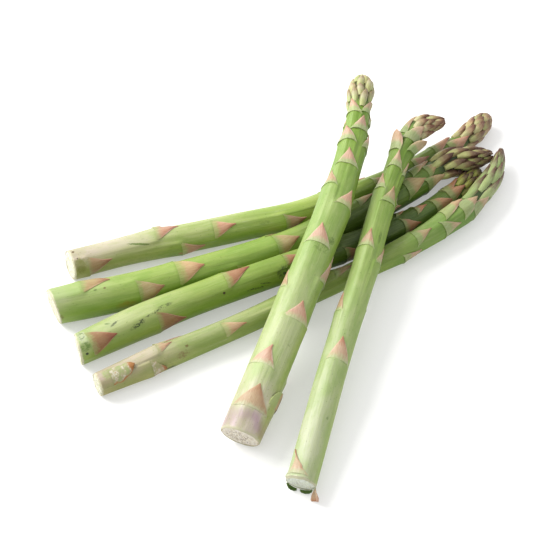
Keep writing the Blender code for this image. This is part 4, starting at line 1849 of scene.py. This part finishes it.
    def shape_head_leaf(self, copy: bpy.types.Object, leaf: Leaf) -> None:
        """Shapes a flat copy into a plump scale of the head and lays it on the tip.

        Args:
            copy: the copy.
            leaf: the scale's place.
        """
        shape, form = leaf.shape, self.head_form
        across, along, layer = read_points(copy).T
        rise = np.clip(along / shape.widest, 0, 1)
        fall = np.clip((along - shape.widest) / (1 - shape.widest), 0, 1)
        wide = form.base_width + (1 - form.base_width) * np.sin(rise * math.pi / 2)
        wide = wide * (1 - fall**form.narrow_power) ** shape.blunt
        wide = wide * (1 - form.least_width) + form.least_width
        plump = np.sqrt(np.clip(1 - across**2, 0, 1))
        plump = plump * (1 + form.sunk_sides) - form.sunk_sides
        body = np.sin(math.pi * (form.body_start + form.body_run * along)) ** form.body_power
        spots = np.column_stack([across * form.uneven_pace, along * form.uneven_pace, leaf.at + 0 * along])
        bump = form.uneven * roughness_at(spots, 1.0, leaf.turn)
        late = (leaf.at - self.line.packed) / (self.line.length - self.line.packed)
        full = leaf.height * shape.swell * (1 - shape.slimmer * late**2)
        top = full * plump * body + shape.lift * along**2 + bump
        under = (top - form.under_tip) * along * form.tip_share - form.under_base * (1 - along)
        height = np.where(layer > -HALF_WAY, top, np.minimum(under, top - self.head_thick))
        length = min(leaf.length, self.line.length - leaf.at + self.past_tip)
        at = np.minimum(leaf.at + length * along, self.line.length - self.before_tip)
        angle = np.radians(leaf.turn + leaf.half_width * (wide * across + leaf.skew * along**2))
        self.lay_leaf(copy, leaf, (at, angle, height), (wide, length), (0.0, 0.0, late))

    def lay_leaf(
        self,
        copy: bpy.types.Object,
        leaf: Leaf,
        places: tuple[np.ndarray, np.ndarray, np.ndarray],
        size: tuple[np.ndarray, float],
        state: tuple[float, float, float],
    ) -> None:
        """Lays a shaped scale on the spear, and stores what its material reads.

        Args:
            copy: the flat copy.
            leaf: the scale's place.
            places: its points' distances, angles and heights on the spear.
            size: its width at each point as a share of its widest, and its length.
            state: how torn it is, how far it is a green stub, and how near the head or the tip it is.
        """
        across, along, layer = read_points(copy).T
        wide, length = size
        half = math.radians(leaf.half_width) * max(1.0, self.line.radius_at(leaf.at))
        straight = np.column_stack([across * wide * half, along * length, leaf.at + layer * self.least_thick])
        keep_vectors(copy, "straight", straight)
        keep_vectors(copy, "share", np.column_stack([across, along, np.full(len(along), leaf.tint)]))
        keep_vectors(copy, "state", np.tile(state, (len(along), 1)))
        write_points(copy, self.pile.lay(self.plan.name, *places) * MM)

    def build_scales(
        self, blank: Blank, leaves: list[Leaf], part: str, skin: bpy.types.Material
    ) -> bpy.types.Object:
        """Lays a copy of the blank at each place and joins them.

        Args:
            blank: the blank.
            leaves: the places.
            part: the piece's word in its name.
            skin: the material.

        Returns:
            The joined piece.
        """
        copies = []
        for index, leaf in enumerate(leaves):
            copy = blank.copy(f"{self.plan.name}_{part}_{index}")
            if isinstance(leaf.shape, HeadShape):
                self.shape_head_leaf(copy, leaf)
            else:
                self.shape_leaf(copy, leaf)
            copies.append(copy)
        clear_selection()
        for copy in copies:
            copy.select_set(True)
        bpy.context.view_layer.objects.active = copies[0]
        bpy.ops.object.join()
        joined = bpy.context.active_object
        self.finish_piece(joined, part, skin, self.scale_crease)
        return joined

    def finish_piece(
        self, piece: bpy.types.Object, part: str, skin: bpy.types.Material, crease: float
    ) -> None:
        """Names and dresses a piece, smooths it up to a crease angle, and ties it to the frame.

        Args:
            piece: the piece.
            part: its word in its name.
            skin: its material.
            crease: the crease angle in degrees.
        """
        piece.name = f"{self.plan.name}_{part}"
        piece.data.name = piece.name
        piece.data.materials.clear()
        piece.data.materials.append(skin)
        choose(piece)
        bpy.ops.object.shade_smooth_by_angle(angle=math.radians(crease))
        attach(piece, "root")
        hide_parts(self.plan.name)
        LOG.info("%s: %d faces", piece.name, len(piece.data.polygons))

    def build(self, leaf_blank: Blank, head_blank: Blank) -> None:
        """Builds and dresses the whole spear.

        Args:
            leaf_blank: the blank of the scales below the head.
            head_blank: the blank of the head's scales.
        """
        self.build_stem()
        self.build_cut()
        skin = self.finish.leaf.material(self.finish.stem.colours)
        self.build_scales(leaf_blank, self.leaves, "scales", skin)
        self.build_scales(head_blank, self.place_head(), "head", self.finish.head.material())


# The studio


@dataclass(frozen=True)
class Studio:
    """The pale lit floor, the soft light and the camera at the photograph's angle.

    Args: the camera's elevation in degrees, its distance and the point it looks at in millimetres, its field
    of view in degrees and its sensor's width; the key light's direction, size, distance and power, in metres
    and watts; the strength of the sky and of the floor's own glow; and the floor's size and height.
    """

    elevation: float = 52.0
    distance: float = 690.4
    target: tuple[float, float, float] = (-1.5, 6.1, 0.0)
    view: float = 20.0
    sensor: float = 36.0
    key_direction: tuple[float, float, float] = (-0.7, 0.38, 0.64)
    key_size: float = 0.7
    key_distance: float = 1.1
    key_power: float = 20.0
    sky: float = 1.02
    glow: float = 0.32
    floor_size: float = 6.0
    floor_height: float = -0.00005

    def build_floor(self) -> None:
        """Builds a wide pale plane under the bundle."""
        clear_selection()
        bpy.ops.mesh.primitive_plane_add(size=self.floor_size, location=(0.0, 0.0, self.floor_height))
        floor = bpy.context.active_object
        floor.name = "floor"
        sheet = NodeSheet("pale_floor")
        sheet.dress(Base_Color=(0.6, 0.6, 0.597), Roughness=0.8, Specular_IOR_Level=0.1)
        sheet.dress(Emission_Color=(1.0, 1.0, 0.99), Emission_Strength=self.glow)
        floor.data.materials.append(sheet.material)

    def build_light(self) -> None:
        """Builds a large soft key light from the upper left, and an even pale sky."""
        clear_selection()
        direction = Vector(self.key_direction).normalized()
        bpy.ops.object.light_add(type="AREA", location=direction * self.key_distance)
        key = bpy.context.active_object
        key.name = "key_light"
        key.data.shape = "SQUARE"
        key.data.size = self.key_size
        key.data.energy = self.key_power
        key.data.color = (1.0, 0.99, 0.97)
        key.rotation_euler = direction.to_track_quat("Z", "Y").to_euler()
        world = bpy.data.worlds.new("pale_sky")
        world.use_nodes = True
        background = world.node_tree.nodes["Background"]
        background.inputs["Color"].default_value = (1.0, 1.0, 1.0, 1.0)
        background.inputs["Strength"].default_value = self.sky
        bpy.context.scene.world = world
        bpy.context.scene.view_settings.view_transform = "Standard"

    def build_camera(self) -> None:
        """Builds the camera that looks down on the bundle from the front."""
        clear_selection()
        rise = math.radians(self.elevation)
        back = Vector((0.0, -math.cos(rise), math.sin(rise))) * self.distance
        bpy.ops.object.camera_add(location=(Vector(self.target) + back) * MM)
        camera = bpy.context.active_object
        camera.rotation_euler = (math.radians(90.0 - self.elevation), 0.0, 0.0)
        camera.data.sensor_width = self.sensor
        camera.data.lens = self.sensor / 2 / math.tan(math.radians(self.view / 2))
        camera.data.clip_start = 0.01
        bpy.context.scene.camera = camera

    def build(self) -> None:
        """Builds the whole studio."""
        self.build_floor()
        self.build_light()
        self.build_camera()
        LOG.info("studio built")


def corners(box: object) -> list[list[float]]:
    """A box's two corners as plain numbers."""
    return [[float(number) for number in corner] for corner in box]


def main() -> None:
    """Builds the studio and the six spears."""
    logging.basicConfig(level=logging.INFO, format="%(name)s: %(message)s")
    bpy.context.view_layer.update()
    Studio().build()
    pile = Pile(PLANS)
    leaf_blank = Blank("leaf_blank", *LEAF_FACES)
    head_blank = Blank("head_blank", *HEAD_FACES)
    for number, plan in enumerate(PLANS):
        Spear(plan, pile, number).build(leaf_blank, head_blank)
    leaf_blank.discard()
    head_blank.discard()


if __name__ == "__main__":
    main()
